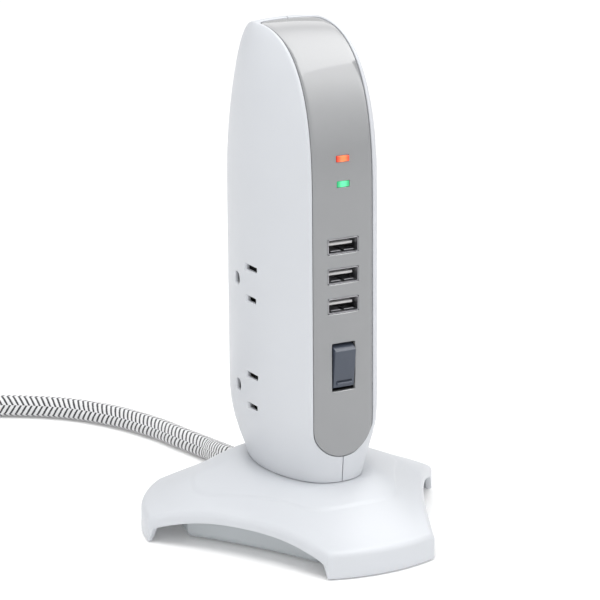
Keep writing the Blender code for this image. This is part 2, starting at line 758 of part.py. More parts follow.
def extruded(name, outline, half, finish, place):
    """A prism from an outline of (y, z) pairs, spread along X."""
    def build(work):
        left = [work.verts.new((-half, y, z)) for y, z in outline]
        face = work.faces.new(left)
        more = bmesh.ops.extrude_face_region(work, geom=[face])
        moved = [item for item in more["geom"] if isinstance(item, bmesh.types.BMVert)]
        bmesh.ops.translate(work, verts=moved, vec=(2 * half, 0, 0))
    return node(name, mesh_from(name, build), finish, place)


def rocker_button():
    """Two-position button, tilted with its upper end standing out; a raised bar marks the lower end."""
    made = extruded("rocker_button", rocker_profile(), ROCKER_HALF, SLATE, (0, PIVOT_Y, ROCKER_Z))
    bar = box_mesh("rocker_bar", (0.0066, 0.0012, 0.0010), (0, -ROCKER_REACH, -0.0058))
    mark = node("rocker_bar", bar, None, cutter=True)
    axle = node("rocker_axle", rod_mesh("rocker_axle", 0.0011, (-0.0056, 0, 0), (0.0056, 0, 0),
                                        segments=12), None, cutter=True)
    for extra in (mark, axle):
        extra.parent = made
        carve(made, extra, operation="UNION")
    made.rotation_euler = (ROCKER_TILT, 0, 0)
    return made


def rocker_frame():
    """The switch's body: a black cup behind the panel with bearings for the button's axle."""
    front = BASE_Y + PANEL_FACE + PANEL_THICK + GAP
    back = BASE_Y + PANEL_FACE + 0.0190
    tall = ROCKER_OPENING[1] + 0.0030
    wide = ROCKER_OPENING[0] + 0.0040
    made = block("rocker_frame", (wide, back - front, tall), (0, (front + back) / 2, ROCKER_Z),
                 BLACK_NYLON)
    floor = PIVOT_Y + 0.0040
    carve(made, cut_box("rocker_well", (ROCKER_OPENING[0] - 0.0002, 2 * (floor - front),
                                        ROCKER_OPENING[1] - 0.0001), (0, front, ROCKER_Z)))
    carve(made, cut_rod("rocker_bearing", 0.0011 + GAP, (-0.0059, PIVOT_Y, ROCKER_Z),
                        (0.0059, PIVOT_Y, ROCKER_Z), segments=12))
    return made


def switch_tabs():
    """Three spade terminals out of the back of the switch."""
    back = BASE_Y + PANEL_FACE + 0.0190 + GAP
    for name, z in (("line", -0.0070), ("load", 0.0), ("lamp", 0.0070)):
        block(f"switch_tab_{name}", (0.0048, 0.0050, 0.0008), (0, back + 0.0025, ROCKER_Z + z), BRASS)


# ---------------------------------------------------------------- outlets

CARRIER_FRONT = BASE_Y - 0.0108
CARRIER_BACK = BASE_Y + 0.0150
CARRIER_LOW = OUTLET_Z[1] - 0.0135
CARRIER_HIGH = OUTLET_Z[0] + 0.0135
CARRIER_OUT = 0.0206
CARRIER_IN = 0.0030
LEAF = 0.0006
GRIP = 0.0012


def leaf_pair(side, y_low, y_high, z, out, inner):
    """Two springy leaves that grip one flat blade."""
    length = out - inner
    centre = side * (out + inner) / 2
    return [((length, y_high - y_low, LEAF), (centre, (y_low + y_high) / 2, z + lift * (GRIP + LEAF) / 2))
            for lift in (-1, 1)]


def contact_strip(side, label, kind):
    """One brass strip that feeds the same contact of both outlets on a side."""
    pieces = []
    tall = OUTLET_Z[0] - OUTLET_Z[1] + 0.020
    middle = (OUTLET_Z[0] + OUTLET_Z[1]) / 2
    slot = BASE_Y + SLOT_Y
    if kind == "neutral":
        pieces.append(((0.0008, 0.0050, tall), (side * 0.0066, slot, middle + SLOT_PITCH / 2)))
        for z in OUTLET_Z:
            pieces += leaf_pair(side, slot - 0.0030, slot + 0.0030, z + SLOT_PITCH / 2, 0.0200, 0.0064)
    if kind == "hot":
        pieces.append(((0.0050, 0.0008, tall), (side * 0.0150, slot - 0.0040, middle - SLOT_PITCH / 2)))
        for z in OUTLET_Z:
            pieces += leaf_pair(side, slot - 0.0042, slot + 0.0028, z - SLOT_PITCH / 2, 0.0200, 0.0110)
    if kind == "ground":
        rear = slot + GROUND_BEHIND
        pieces.append(((0.0050, 0.0008, tall), (side * 0.0140, rear + 0.0031, middle)))
        for z in OUTLET_Z:
            for lift in (-1, 1):
                pieces.append(((0.0090, 0.0056, LEAF),
                               (side * 0.0155, rear + 0.0006, z + lift * 0.0022)))
    return joined(f"{label}_{kind}_strip", pieces, BRASS)


def pocket(made, name, size, centre):
    carve(made, cut_box(name, size, centre))


def outlet_carrier(side, label):
    """Moulded carrier that holds the three strips behind the slots of one side."""
    size = (CARRIER_OUT - CARRIER_IN, CARRIER_BACK - CARRIER_FRONT, CARRIER_HIGH - CARRIER_LOW)
    centre = (side * (CARRIER_OUT + CARRIER_IN) / 2, (CARRIER_FRONT + CARRIER_BACK) / 2,
              (CARRIER_HIGH + CARRIER_LOW) / 2)
    made = block(f"{label}_outlet_carrier", size, centre, BLACK_NYLON)
    slot = BASE_Y + SLOT_Y
    open_out = 0.0300
    span = OUTLET_Z[0] - OUTLET_Z[1] + 0.030
    middle = (OUTLET_Z[0] + OUTLET_Z[1]) / 2

    def channel(name, x_low, x_high, y_low, y_high, z_low, z_high):
        pocket(made, f"{label}_{name}", (x_high - x_low, y_high - y_low, z_high - z_low),
               (side * (x_low + x_high) / 2, (y_low + y_high) / 2, (z_low + z_high) / 2))
    for number, z in enumerate(OUTLET_Z):
        for kind, lift, low, high in (("n", 1, -0.0046, 0.0046), ("h", -1, -0.0052, 0.0040)):
            at = z + lift * SLOT_PITCH / 2
            channel(f"{kind}_pocket_{number}", 0.0055, open_out, slot + low, slot + high,
                    at - 0.0016, at + 0.0016)
        rear = slot + GROUND_BEHIND
        channel(f"g_pocket_{number}", 0.0105, open_out, rear - 0.0028, rear + 0.0041,
                z - 0.0030, z + 0.0030)
    channel("n_channel", 0.0055, 0.0076, slot - 0.0032, slot + 0.0032,
            middle - span / 2 + SLOT_PITCH / 2, middle + span / 2 + SLOT_PITCH / 2)
    channel("h_channel", 0.0120, 0.0180, slot - 0.0052, slot - 0.0030,
            middle - span / 2 - SLOT_PITCH / 2, middle + span / 2 - SLOT_PITCH / 2)
    rear = slot + GROUND_BEHIND
    channel("g_channel", 0.0110, 0.0170, rear + 0.0024, rear + 0.0041,
            middle - span / 2, middle + span / 2)
    return made


# ---------------------------------------------------------------- surge board

SURGE_Y = BASE_Y + 0.0185
SURGE_THICK = 0.0016


def surge_board():
    """Upright board at the back with the surge and charging parts on its rear face."""
    block("surge_board", (0.0260, SURGE_THICK, 0.0780), (0, SURGE_Y + SURGE_THICK / 2, 0.0950), BOARD)
    rear = SURGE_Y + SURGE_THICK + GAP
    for number, z in enumerate((0.0640, 0.0740, 0.0840), 1):
        start = (-0.0040, rear, z)
        end = (-0.0040, rear + 0.0100, z)
        profile = [(0, 0.0100), (0.0036, 0.0100), (0.0042, 0.0090), (0.0042, 0.0010),
                   (0.0036, 0), (0, 0)]
        disc = turned(f"varistor_{number}", profile, CERAMIC, start, steps=20)
        disc.rotation_mode = "QUATERNION"
        disc.rotation_quaternion = (Vector(end) - Vector(start)).to_track_quat("Z", "Y")
    block("thermal_fuse", (0.0050, 0.0040, 0.0160), (0.0060, rear + 0.0020, 0.0700), CREAM_NYLON,
          bevel=0.0006)
    block("filter_capacitor", (0.0150, 0.0080, 0.0120), (0, rear + 0.0040, 0.1000), YELLOW_FILM,
          bevel=0.0006)
    block("charger_transformer", (0.0140, 0.0100, 0.0140), (0, rear + 0.0050, 0.1180), YELLOW_FILM,
          bevel=0.0008)


# ---------------------------------------------------------------- mains lead

RELIEF_START = BASE_Y + CHORD_AT - SCALLOP_SAG - TUB_INSET
RELIEF_END = RELIEF_START + RELIEF_LENGTH


def lead_route():
    """Points that the lead follows along the floor, from the strain relief to the coil."""
    return [(0.0000, RELIEF_END, RELIEF_HEIGHT),
            (0.0001, RELIEF_END + 0.0060, RELIEF_HEIGHT - 0.0002),
            (0.0010, RELIEF_END + 0.0170, 0.0070),
            (0.0022, 0.0990, 0.0052),
            (-0.0011, 0.1180, CORD_REST),
            (-0.0046, 0.1366, CORD_REST),
            (-0.0132, 0.1610, CORD_REST),
            (-0.0275, 0.1830, CORD_REST),
            (-0.0490, 0.2000, CORD_REST),
            (-0.0740, 0.2115, CORD_REST),
            (-0.0940, 0.2165, CORD_REST),
            (-0.1134, 0.2187, CORD_REST)]


def tail_route():
    """Points from the coil to the plug."""
    return [(-0.1998, 0.1322, 0.0238),
            (-0.1996, 0.1200, 0.0205),
            (-0.1982, 0.1050, 0.0125),
            (-0.1945, 0.0900, 0.0068),
            (-0.1865, 0.0760, 0.0062),
            (-0.1748, 0.0644, 0.0092)]


def smooth(points, spacing):
    """Even points along a smooth curve through the given ones."""
    ends = [Vector(point) for point in points]
    ends = [ends[0] * 2 - ends[1]] + ends + [ends[-1] * 2 - ends[-2]]
    fine = []
    for a, b, c, d in zip(ends, ends[1:], ends[2:], ends[3:]):
        for step in range(20):
            t = step / 20
            fine.append(0.5 * (2 * b + (c - a) * t + (2 * a - 5 * b + 4 * c - d) * t ** 2
                               + (3 * b - a - 3 * c + d) * t ** 3))
    fine.append(ends[-2])
    total = sum((b - a).length for a, b in zip(fine, fine[1:]))
    count = max(2, round(total / spacing))
    even = [fine[0]]
    walked = 0.0
    for a, b in zip(fine, fine[1:]):
        run = (b - a).length
        while walked + run >= len(even) * total / count and len(even) < count:
            even.append(a.lerp(b, (len(even) * total / count - walked) / run))
        walked += run
    return even + [fine[-1]]


def tube(name, points, radius, finish):
    """A closed tube along points."""
    curve = bpy.data.curves.new(name, "CURVE")
    curve.dimensions = "3D"
    curve.bevel_depth = radius
    curve.bevel_resolution = 2
    curve.use_fill_caps = True
    line = curve.splines.new("POLY")
    line.points.add(len(points) - 1)
    for spot, point in zip(line.points, points):
        spot.co = (*point, 1.0)
    made = bpy.data.objects.new(name, curve)
    MODEL.objects.link(made)
    curve.materials.append(finish)
    return made


def shorten(points, start, end):
    """Pull the ends of a line in, so that they stop clear of what they meet."""
    points = list(points)
    points[0] = points[0] + (points[1] - points[0]).normalized() * start
    points[-1] = points[-1] + (points[-2] - points[-1]).normalized() * end
    return points


def mains_lead():
    """The braided lead: along the floor, a coil of the rest, and the end with the plug."""
    run = shorten(smooth(lead_route(), 0.0085), GAP, GAP)
    tube("mains_lead", run, CORD_DIAMETER / 2, BRAID)
    tail = shorten(smooth(tail_route(), 0.0085), GAP, GAP)
    tube("mains_lead_end", tail, CORD_DIAMETER / 2, BRAID)


def lead_coil():
    """Outer shape of the coiled length."""
    edge = 0.0040
    low = CORD_REST - CORD_DIAMETER / 2
    profile = [(COIL_INNER + edge, COIL_HEIGHT), (COIL_OUTER - edge, COIL_HEIGHT),
               (COIL_OUTER, COIL_HEIGHT - edge), (COIL_OUTER, edge), (COIL_OUTER - edge, low),
               (COIL_INNER + edge, low), (COIL_INNER, edge), (COIL_INNER, COIL_HEIGHT - edge)]
    return turned("mains_lead_coil", profile, BRAID, (*COIL_CENTRE, 0), steps=32, ring=True)


def strain_relief():
    """Tapered sleeve on the lead, held in the tub's rear wall by the collar inside it."""
    inner = -TUB_WALL - 2 * GAP
    profile = [(0, RELIEF_LENGTH), (CORD_DIAMETER / 2 + 0.0009, RELIEF_LENGTH), (RELIEF_RADIUS, 0.0060),
               (RELIEF_RADIUS, 2 * GAP), (RELIEF_NECK, 2 * GAP), (RELIEF_NECK, inner),
               (RELIEF_COLLAR, inner), (RELIEF_COLLAR, inner - 0.0014), (0, inner - 0.0014)]
    turned("strain_relief", profile, RUBBER, (0, RELIEF_START, RELIEF_HEIGHT), axis="Y", steps=20)


# ---------------------------------------------------------------- plug

PLUG_TURN = math.radians(-40)


def plug_place(x, y, z):
    """A point given along, across and above the plug, as a place on the floor."""
    across, along = math.cos(PLUG_TURN), math.sin(PLUG_TURN)
    return (PLUG_CENTRE[0] + x * across - y * along, PLUG_CENTRE[1] + x * along + y * across, z)


def plug():
    """Flat right-angle plug: moulded body, two blades and a ground pin pointing up."""
    turn = Matrix.Rotation(PLUG_TURN, 4, "Z")
    body = node("plug_body", box_mesh("plug_body", (0.0360, 0.0290, 0.0190), turn=turn), WHITE_ABS,
                plug_place(0, 0, 0.0098))
    soften(body, 0.0035, segments=3)
    top = 0.0193 + GAP
    for name, y in (("hot", -SLOT_PITCH / 2), ("neutral", SLOT_PITCH / 2)):
        blade = node(f"plug_blade_{name}", box_mesh(name, (0.0064, 0.0015, 0.0160), turn=turn), BRASS,
                     plug_place(-0.0040, y, top + 0.0080))
        soften(blade, 0.0005, segments=1)
    pin = node("plug_ground_pin", rod_mesh("pin", 0.0024, (0, 0, 0), (0, 0, 0.0190), segments=12),
               BRASS, plug_place(0.0079, 0, top))
    soften(pin, 0.0008)


# ---------------------------------------------------------------- assembly

base_skirt()
base_tub()
rubber_pads()
ballast_plate()
base_screws()
housings()
housing_screws()
front_panel()
indicator("red", RED_LENS)
indicator("green", GREEN_LENS)
for port, height in enumerate(USB_Z, 1):
    usb_port(port, height)
control_board()
rocker_button()
rocker_frame()
switch_tabs()
for way, word in ((-1, "left"), (1, "right")):
    outlet_carrier(way, word)
    for contact in ("neutral", "hot", "ground"):
        contact_strip(way, word, contact)
surge_board()
strain_relief()
mains_lead()
lead_coil()
plug()
bpy.context.view_layer.update()
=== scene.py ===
"""Looks of a tower power strip on a three-footed base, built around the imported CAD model.

Metres, +Z up. The front strip faces -Y and the left side is -X.
"""

import math

import bmesh
import bpy
import numpy as np
from mathutils import Matrix, Vector


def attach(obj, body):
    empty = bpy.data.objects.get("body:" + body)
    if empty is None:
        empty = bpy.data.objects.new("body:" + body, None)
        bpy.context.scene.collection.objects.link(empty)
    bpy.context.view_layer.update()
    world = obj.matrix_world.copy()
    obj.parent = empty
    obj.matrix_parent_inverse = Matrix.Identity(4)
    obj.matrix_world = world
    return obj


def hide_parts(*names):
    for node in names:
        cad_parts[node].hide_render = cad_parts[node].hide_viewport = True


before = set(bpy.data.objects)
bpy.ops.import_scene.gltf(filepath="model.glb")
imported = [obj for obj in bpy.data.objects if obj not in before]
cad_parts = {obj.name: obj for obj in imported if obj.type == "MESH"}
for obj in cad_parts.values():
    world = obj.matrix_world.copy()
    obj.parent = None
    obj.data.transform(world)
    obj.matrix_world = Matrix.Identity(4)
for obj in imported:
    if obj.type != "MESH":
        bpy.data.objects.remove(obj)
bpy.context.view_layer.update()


# ---- Camera
# A long lens, a little above the strip's middle and well round to its left, so that the side
# with the outlets and the front strip both show.

CAMERA_PLACE = Vector((-0.5366, -0.9899, 0.4072))
CAMERA_ROUND = math.radians(28.2)
CAMERA_DOWN = math.radians(15.45)
CAMERA_ROLL = math.radians(-0.4)

back = Vector((-math.sin(CAMERA_ROUND) * math.cos(CAMERA_DOWN),
               -math.cos(CAMERA_ROUND) * math.cos(CAMERA_DOWN), math.sin(CAMERA_DOWN)))
right = Vector((math.cos(CAMERA_ROUND), -math.sin(CAMERA_ROUND), 0.0))
up = back.cross(right)
right, up = (right * math.cos(CAMERA_ROLL) + up * math.sin(CAMERA_ROLL),
             up * math.cos(CAMERA_ROLL) - right * math.sin(CAMERA_ROLL))
lens = bpy.data.cameras.new("camera")
lens.lens = 177.0
lens.sensor_width = 36.0
lens.clip_start = 0.05
camera = bpy.data.objects.new("camera", lens)
camera.matrix_world = Matrix((
    (right.x, up.x, back.x, CAMERA_PLACE.x),
    (right.y, up.y, back.y, CAMERA_PLACE.y),
    (right.z, up.z, back.z, CAMERA_PLACE.z),
    (0, 0, 0, 1)))
bpy.context.scene.collection.objects.link(camera)
bpy.context.scene.camera = camera


# ---- Mains lead
# Three cores in a thick woven sleeve: white yarn with dark yarn laid in as slanting arms that
# fold three times round it. It lies on the floor, and its spare length is wound in a coil, three
# layers high.

class Socket:
    """A shader socket, so that maths on it reads as a plain expression."""

    def __init__(self, finish, out):
        self.finish = finish
        self.out = out

    def does(self, operation, *values):
        return self.finish.add("Math", {"operation": operation}, dict(enumerate(values)))

    def __add__(self, other):
        return self.does("ADD", self, other)

    def __sub__(self, other):
        return self.does("SUBTRACT", self, other)

    def __rsub__(self, other):
        return self.does("SUBTRACT", other, self)

    def __mul__(self, other):
        return self.does("MULTIPLY", self, other)

    __radd__ = __add__
    __rmul__ = __mul__

    def between(self, low, high):
        """0 below low, 1 above high, and smooth between them."""
        return self.finish.add("MapRange", {"interpolation_type": "SMOOTHSTEP"},
                               {"Value": self, "From Min": low, "From Max": high})


class Finish:
    """A named material; add() makes any node of it, and wear() sets the surface."""

    def __init__(self, name):
        self.made = bpy.data.materials.new(name)
        self.made.use_nodes = True
        self.tree = self.made.node_tree
        self.surface = self.tree.nodes["Principled BSDF"]

    def put(self, socket, value):
        if isinstance(value, Socket):
            self.tree.links.new(value.out, socket)
        else:
            socket.default_value = value

    def add(self, kind, settings=None, values=None, out=0):
        made = self.tree.nodes.new("ShaderNode" + kind)
        for key, value in (settings or {}).items():
            setattr(made, key, value)
        for key, value in (values or {}).items():
            self.put(made.inputs[key], value)
        return Socket(self, made.outputs[out])

    def blend(self, share, first, second):
        return self.add("Mix", {"data_type": "RGBA"}, {0: share, 6: first, 7: second}, out=2)

    def place(self):
        return self.add("TexCoord", out="Object")

    def axis(self, vector, index):
        """One of the three numbers in a vector."""
        return self.add("SeparateXYZ", None, {0: vector}, out=index)

    def noise(self, scale, detail=2.0, vector=None):
        return self.add("TexNoise", None, {"Vector": vector or self.place(), "Scale": scale,
                                           "Detail": detail})

    def bump(self, height, strength, distance):
        return self.add("Bump", None, {"Height": height, "Strength": strength, "Distance": distance})

    def wear(self, **values):
        for key, value in values.items():
            self.put(self.surface.inputs[key.replace("_", " ").title().replace("Ior", "IOR")], value)
        return self


def grey(level, tint=(0.0, 0.0, 0.0)):
    return (level + tint[0], level + tint[1], level + tint[2], 1.0)


def place_piece(name, mesh, finish, nodes, body="body", angle=35.0):
    """Put a finished mesh in the scene as a piece that stands for CAD nodes."""
    made = bpy.data.objects.new(name, mesh)
    bpy.context.scene.collection.objects.link(made)
    mesh.materials.clear()
    mesh.materials.append(finish.made)
    work = bmesh.new()
    work.from_mesh(mesh)
    for face in work.faces:
        face.smooth = True
    for edge in work.edges:
        edge.smooth = len(edge.link_faces) == 2 and edge.calc_face_angle(0.0) < math.radians(angle)
    work.to_mesh(mesh)
    work.free()
    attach(made, body)
    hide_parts(*nodes)
    return made


def mesh_of(name, build):
    """A mesh that build() fills, with doubles merged and faces turned outwards."""
    work = bmesh.new()
    build(work)
    bmesh.ops.remove_doubles(work, verts=work.verts, dist=0.000002)
    bmesh.ops.dissolve_degenerate(work, dist=0.000001, edges=work.edges)
    bmesh.ops.recalc_face_normals(work, faces=work.faces)
    made = bpy.data.meshes.new(name)
    work.to_mesh(made)
    work.free()
    return made


def loft(work, rings):
    """Quads between closed rings of equal length."""
    rows = [[work.verts.new(point) for point in ring] for ring in rings]
    count = len(rows[0])
    for low, high in zip(rows, rows[1:]):
        for i in range(count):
            j = (i + 1) % count
            work.faces.new((low[i], low[j], high[j], high[i]))
    return rows


LEAD_DIAMETER = 0.0095
LEAD_REST = 0.0050
RELIEF_EXIT = (0.0, 0.0708790, 0.0088)
YARN_PITCH = 0.0026
YARN_COLUMNS = 3
YARN_ARC = 1.15
YARN_START = 0.35
YARN_GROOVE = 0.00016
YARN_TWISTS = 5
COIL_MIDDLE = (-0.146, 0.165)
COIL_TURN_RADII = (0.05375, 0.04425)
COIL_LAYER = 0.0095
COIL_CHANGE = 50


def ease(share):
    """0 to 1 with a soft start and a soft stop."""
    share = min(1.0, max(0.0, share))
    return share * share * (3 - 2 * share)


def coil_route():
    """The wound part, by degrees turned: out, in, up, out, up, each turn beside or on another."""
    outer, inner = COIL_TURN_RADII
    points = []
    for angle in range(90, 1621, 10):
        moved_in, moved_out, first_up, second_up = (
            ease((angle - start) / COIL_CHANGE) for start in (400, 1070, 740, 1400))
        radius = outer + (inner - outer) * (moved_in - moved_out)
        height = LEAD_REST + COIL_LAYER * (first_up + second_up)
        turn = math.radians(angle)
        points.append((COIL_MIDDLE[0] + radius * math.cos(turn),
                       COIL_MIDDLE[1] + radius * math.sin(turn), height))
    return points


lead_points = [
    RELIEF_EXIT, (0.0001, 0.0769, 0.0086), (0.0010, 0.0879, 0.0070), (0.0022, 0.0990, 0.0052),
    (-0.0011, 0.1180, LEAD_REST), (-0.0046, 0.1366, LEAD_REST), (-0.0132, 0.1610, LEAD_REST),
    (-0.0275, 0.1830, LEAD_REST), (-0.0490, 0.2000, LEAD_REST), (-0.0740, 0.2115, LEAD_REST),
    (-0.0940, 0.2165, LEAD_REST), (-0.1134, 0.2187, LEAD_REST)]
tail_points = [
    (-0.1998, 0.1322, 0.0238), (-0.1996, 0.1200, 0.0205), (-0.1982, 0.1050, 0.0125),
    (-0.1945, 0.0900, 0.0068), (-0.1865, 0.0760, 0.0062), (-0.1748, 0.0644, 0.0092)]


def even_line(points, spacing):
    """Evenly spaced points on a smooth curve through the given ones."""
    given = np.array(points)
    given = np.vstack([2 * given[0] - given[1], given, 2 * given[-1] - given[-2]])
    share = np.linspace(0, 1, 24, endpoint=False)[:, None]
    fine = [0.5 * (2 * b + (c - a) * share + (2 * a - 5 * b + 4 * c - d) * share ** 2
                   + (3 * b - a - 3 * c + d) * share ** 3)
            for a, b, c, d in zip(given, given[1:], given[2:], given[3:])]
    fine = np.vstack(fine + [given[-2][None]])
    walked = np.concatenate([[0], np.cumsum(np.linalg.norm(np.diff(fine, axis=0), axis=1))])
    at = np.linspace(0, walked[-1], round(walked[-1] / spacing) + 1)
    return np.stack([np.interp(at, walked, fine[:, axis]) for axis in range(3)], 1), at


def woven_tube(name, line, at, radius, around=24):
    """A tube along a line, grooved at the dark yarns; its UV counts yarns along and turns round."""
    run = np.gradient(line, axis=0)
    run /= np.linalg.norm(run, axis=1)[:, None]
    side = np.cross(run[0], (0, 0, 1))
    sides = []
    for tangent in run:
        side = side - tangent * side.dot(tangent)
        side /= np.linalg.norm(side)
        sides.append(side)
    sides = np.array(sides)
    over = np.cross(run, sides)
    turn = np.arange(around + 1) / around
    lane = YARN_COLUMNS * turn + YARN_START
    arm = YARN_ARC * np.abs(2 * (lane - np.floor(lane)) - 1) + 0.5 * np.floor(lane)
    phase = at[:, None] / YARN_PITCH + arm[None]
    reach = radius - YARN_GROOVE * (0.5 - 0.5 * np.cos(2 * np.pi * phase))
    angle = 2 * np.pi * turn
    points = (line[:, None] + sides[:, None] * (reach * np.cos(angle))[..., None]
              + over[:, None] * (reach * np.sin(angle))[..., None])
    count = len(line)
    spots = [tuple(p) for p in points[:, :around].reshape(-1, 3)] + [tuple(line[0]), tuple(line[-1])]
    faces = []
    charts = []
    for i in range(count - 1):
        for j in range(around):
            k = (j + 1) % around
            faces.append((i * around + j, i * around + k, (i + 1) * around + k, (i + 1) * around + j))
            low, high = at[i] / YARN_PITCH, at[i + 1] / YARN_PITCH
            charts += [(low, j / around), (low, (j + 1) / around), (high, (j + 1) / around),
                       (high, j / around)]
    for j in range(around):
        k = (j + 1) % around
        last = (count - 1) * around
        faces += [(len(spots) - 2, k, j), (len(spots) - 1, last + j, last + k)]
        charts += [(0, 0)] * 6
    made = bpy.data.meshes.new(name)
    made.from_pydata(spots, [], faces)
    chart = made.uv_layers.new(name="along_round")
    chart.data.foreach_set("uv", np.array(charts, dtype=np.float32).ravel())
    return made


def braid():
    """Dark yarn laid into white in folded lanes, each yarn with its own twist."""
    made = Finish("braided_sleeve")
    chart = made.add("UVMap", {"uv_map": "along_round"})
    along = made.axis(chart, 0)
    round_it = made.axis(chart, 1)
    lane = round_it * YARN_COLUMNS + YARN_START
    fold = lane.does("FRACT", lane) * 2.0 - 1.0
    step = lane.does("FLOOR", lane) * 0.5
    arm = fold.does("ABSOLUTE", fold) * YARN_ARC + step
    fray = made.noise(1600.0, 3.0)
    phase = along + arm + (fray - 0.5) * 0.22
    wave = phase.does("COSINE", phase * (2 * math.pi)) * 0.5 + 0.5
    dark = 1.0 - wave.between(0.16, 0.50)
    thread = phase.does("SINE", phase * (2 * math.pi * YARN_TWISTS) + round_it * 150.0)
    white = made.blend(fray, grey(0.72, (0.0, 0.0, 0.02)), grey(0.86))
    colour = made.blend(dark, white, grey(0.035, (0.0, 0.0, 0.006)))
    height = wave * 0.8 + thread * 0.12 + fray * 0.2
    return made.wear(base_color=colour, roughness=0.62 + dark * 0.2,
                     normal=made.bump(height, 0.7, 0.0004), sheen_weight=0.3)


lead_line, lead_at = even_line(lead_points + coil_route() + tail_points, YARN_PITCH / 5)
lead = place_piece("braided_lead", woven_tube("braided_lead", lead_line, lead_at, LEAD_DIAMETER / 2),
                   braid(), ["mains_lead", "mains_lead_coil", "mains_lead_end"],
                   angle=80.0)


# ---- Strain relief
# A pale rubber sleeve moulded on the lead, with grooves that let it bend. Its collar is held
# inside the tub's rear wall.

RELIEF_START = 0.0468790
RELIEF_LENGTH = 0.024
RELIEF_RADII = (0.0063, 0.00565)
RELIEF_COLLAR = 0.0054
RELIEF_NECK = 0.0047
RELIEF_WALL = (-0.0026, 0.0006)
RELIEF_GROOVES = 5
RELIEF_GROOVE_DEPTH = 0.0007


def lathed(name, profile, place, steps=64):
    """A solid turned about +Y at a place, from (radius, distance along) pairs."""
    def build(work):
        rings = [[(place[0] + r * math.cos(2 * math.pi * i / steps), place[1] + y,
                   place[2] + r * math.sin(2 * math.pi * i / steps)) for i in range(steps)]
                 for r, y in profile]
        rows = loft(work, rings)
        work.faces.new(rows[0])
        work.faces.new(rows[-1])
    return mesh_of(name, build)


def relief_profile():
    """From the collar in the tub, through the neck in its wall, along the grooved taper."""
    inner, outer = RELIEF_WALL
    line = [(0.0040, inner - 0.0014), (RELIEF_COLLAR, inner - 0.0014), (RELIEF_COLLAR, inner),
            (RELIEF_NECK, inner), (RELIEF_NECK, outer), (RELIEF_RADII[0] - 0.0003, outer),
            (RELIEF_RADII[0], outer + 0.0004)]
    steps = 90
    for step in range(steps + 1):
        share = step / steps
        y = 0.0040 + (RELIEF_LENGTH - 0.0060) * share
        wave = math.sin(math.pi * RELIEF_GROOVES * 2 * share - math.pi / 2) * 0.5 + 0.5
        groove = RELIEF_GROOVE_DEPTH * ease((wave - 0.45) / 0.3)
        line.append((RELIEF_RADII[0] + (RELIEF_RADII[1] - RELIEF_RADII[0]) * share - groove, y))
    return line + [(RELIEF_RADII[1], RELIEF_LENGTH - 0.0006), (RELIEF_RADII[1] - 0.0006, RELIEF_LENGTH),
                   (LEAD_DIAMETER / 2 - 0.0003, RELIEF_LENGTH)]


def rubber(name, level):
    """Matt moulded rubber with a faint bloom."""
    made = Finish(name)
    cloud = made.noise(260.0, 4.0)
    colour = made.blend(cloud, grey(level), grey(level * 1.7))
    return made.wear(base_color=colour, roughness=0.66 + cloud * 0.2,
                     normal=made.bump(made.noise(5200.0, 3.0), 0.25, 0.0002))


relief_mesh = lathed("grooved_strain_relief", relief_profile(), (0, RELIEF_START, RELIEF_EXIT[2]))
relief = place_piece("grooved_strain_relief", relief_mesh, rubber("relief_rubber", 0.46),
                     ["strain_relief"])


# ---- Plug
# A flat right-angle plug moulded in one with the lead: a soft-edged white body with grip ribs,
# two brass blades and a ground pin, lying with its pins up.

PLUG_MIDDLE = (-0.160, 0.052)
PLUG_TURN = math.radians(-40)
PLUG_HALF = (0.0178, 0.0143)
PLUG_HEIGHTS = (0.0003, 0.0193)
PLUG_RIBS = 5
PLUG_RIB_DEPTH = 0.00035
PLUG_EDGE = 0.0028
PLUG_FACE_EDGE = 0.0012
PLUG_SHOULDER = 0.0010


def plug_spot(x, y, z):
    """The place of a point that is given about the plug's own middle."""
    across, along = math.cos(PLUG_TURN), math.sin(PLUG_TURN)
    return (PLUG_MIDDLE[0] + x * across - y * along, PLUG_MIDDLE[1] + x * along + y * across, z)


def rounded_box_outline(half_x, half_y, radius, steps=6):
    """Corner-rounded rectangle, counter-clockwise, as a function of how much it is grown."""
    def outline(grow):
        turn = max(0.00005, radius + grow)
        points = []
        for corner, (sx, sy) in enumerate(((1, 1), (-1, 1), (-1, -1), (1, -1))):
            for step in range(steps + 1):
                angle = math.radians(90) * (corner + step / steps)
                points.append((sx * (half_x - radius) + turn * math.cos(angle),
                               sy * (half_y - radius) + turn * math.sin(angle)))
        return points
    return outline


def prism(name, outline, stations, spot):
    """A closed solid through outlines at stations of (depth, growth); spot gives a point's place."""
    def build(work):
        rows = loft(work, [[spot(u, v, depth) for u, v in outline(grow)] for depth, grow in stations])
        work.faces.new(rows[0])
        work.faces.new(rows[-1])
    return mesh_of(name, build)


def plug_stations():
    """Flat underneath, with ribbed sides and a shoulder below the face that carries the pins."""
    low, high = PLUG_HEIGHTS
    line = [(low + PLUG_EDGE * (1 - math.cos(math.radians(a))),
             PLUG_EDGE * (math.sin(math.radians(a)) - 1)) for a in range(0, 91, 15)]
    ribs_low = low + PLUG_EDGE + 0.0008
    ribs_high = high - 0.0052
    steps = PLUG_RIBS * 8
    for step in range(steps + 1):
        share = step / steps
        line.append((ribs_low + (ribs_high - ribs_low) * share,
                     -PLUG_RIB_DEPTH * (0.5 - 0.5 * math.cos(2 * math.pi * PLUG_RIBS * share))))
    line += [(high - 0.0040, 0.0), (high - 0.0036, -0.0004), (high - 0.0030, -0.0009),
             (high - PLUG_FACE_EDGE, -PLUG_SHOULDER)]
    return line + [(high - PLUG_FACE_EDGE * (1 - math.sin(math.radians(a))),
                    -PLUG_SHOULDER - PLUG_FACE_EDGE * (1 - math.cos(math.radians(a))))
                   for a in range(30, 91, 30)]


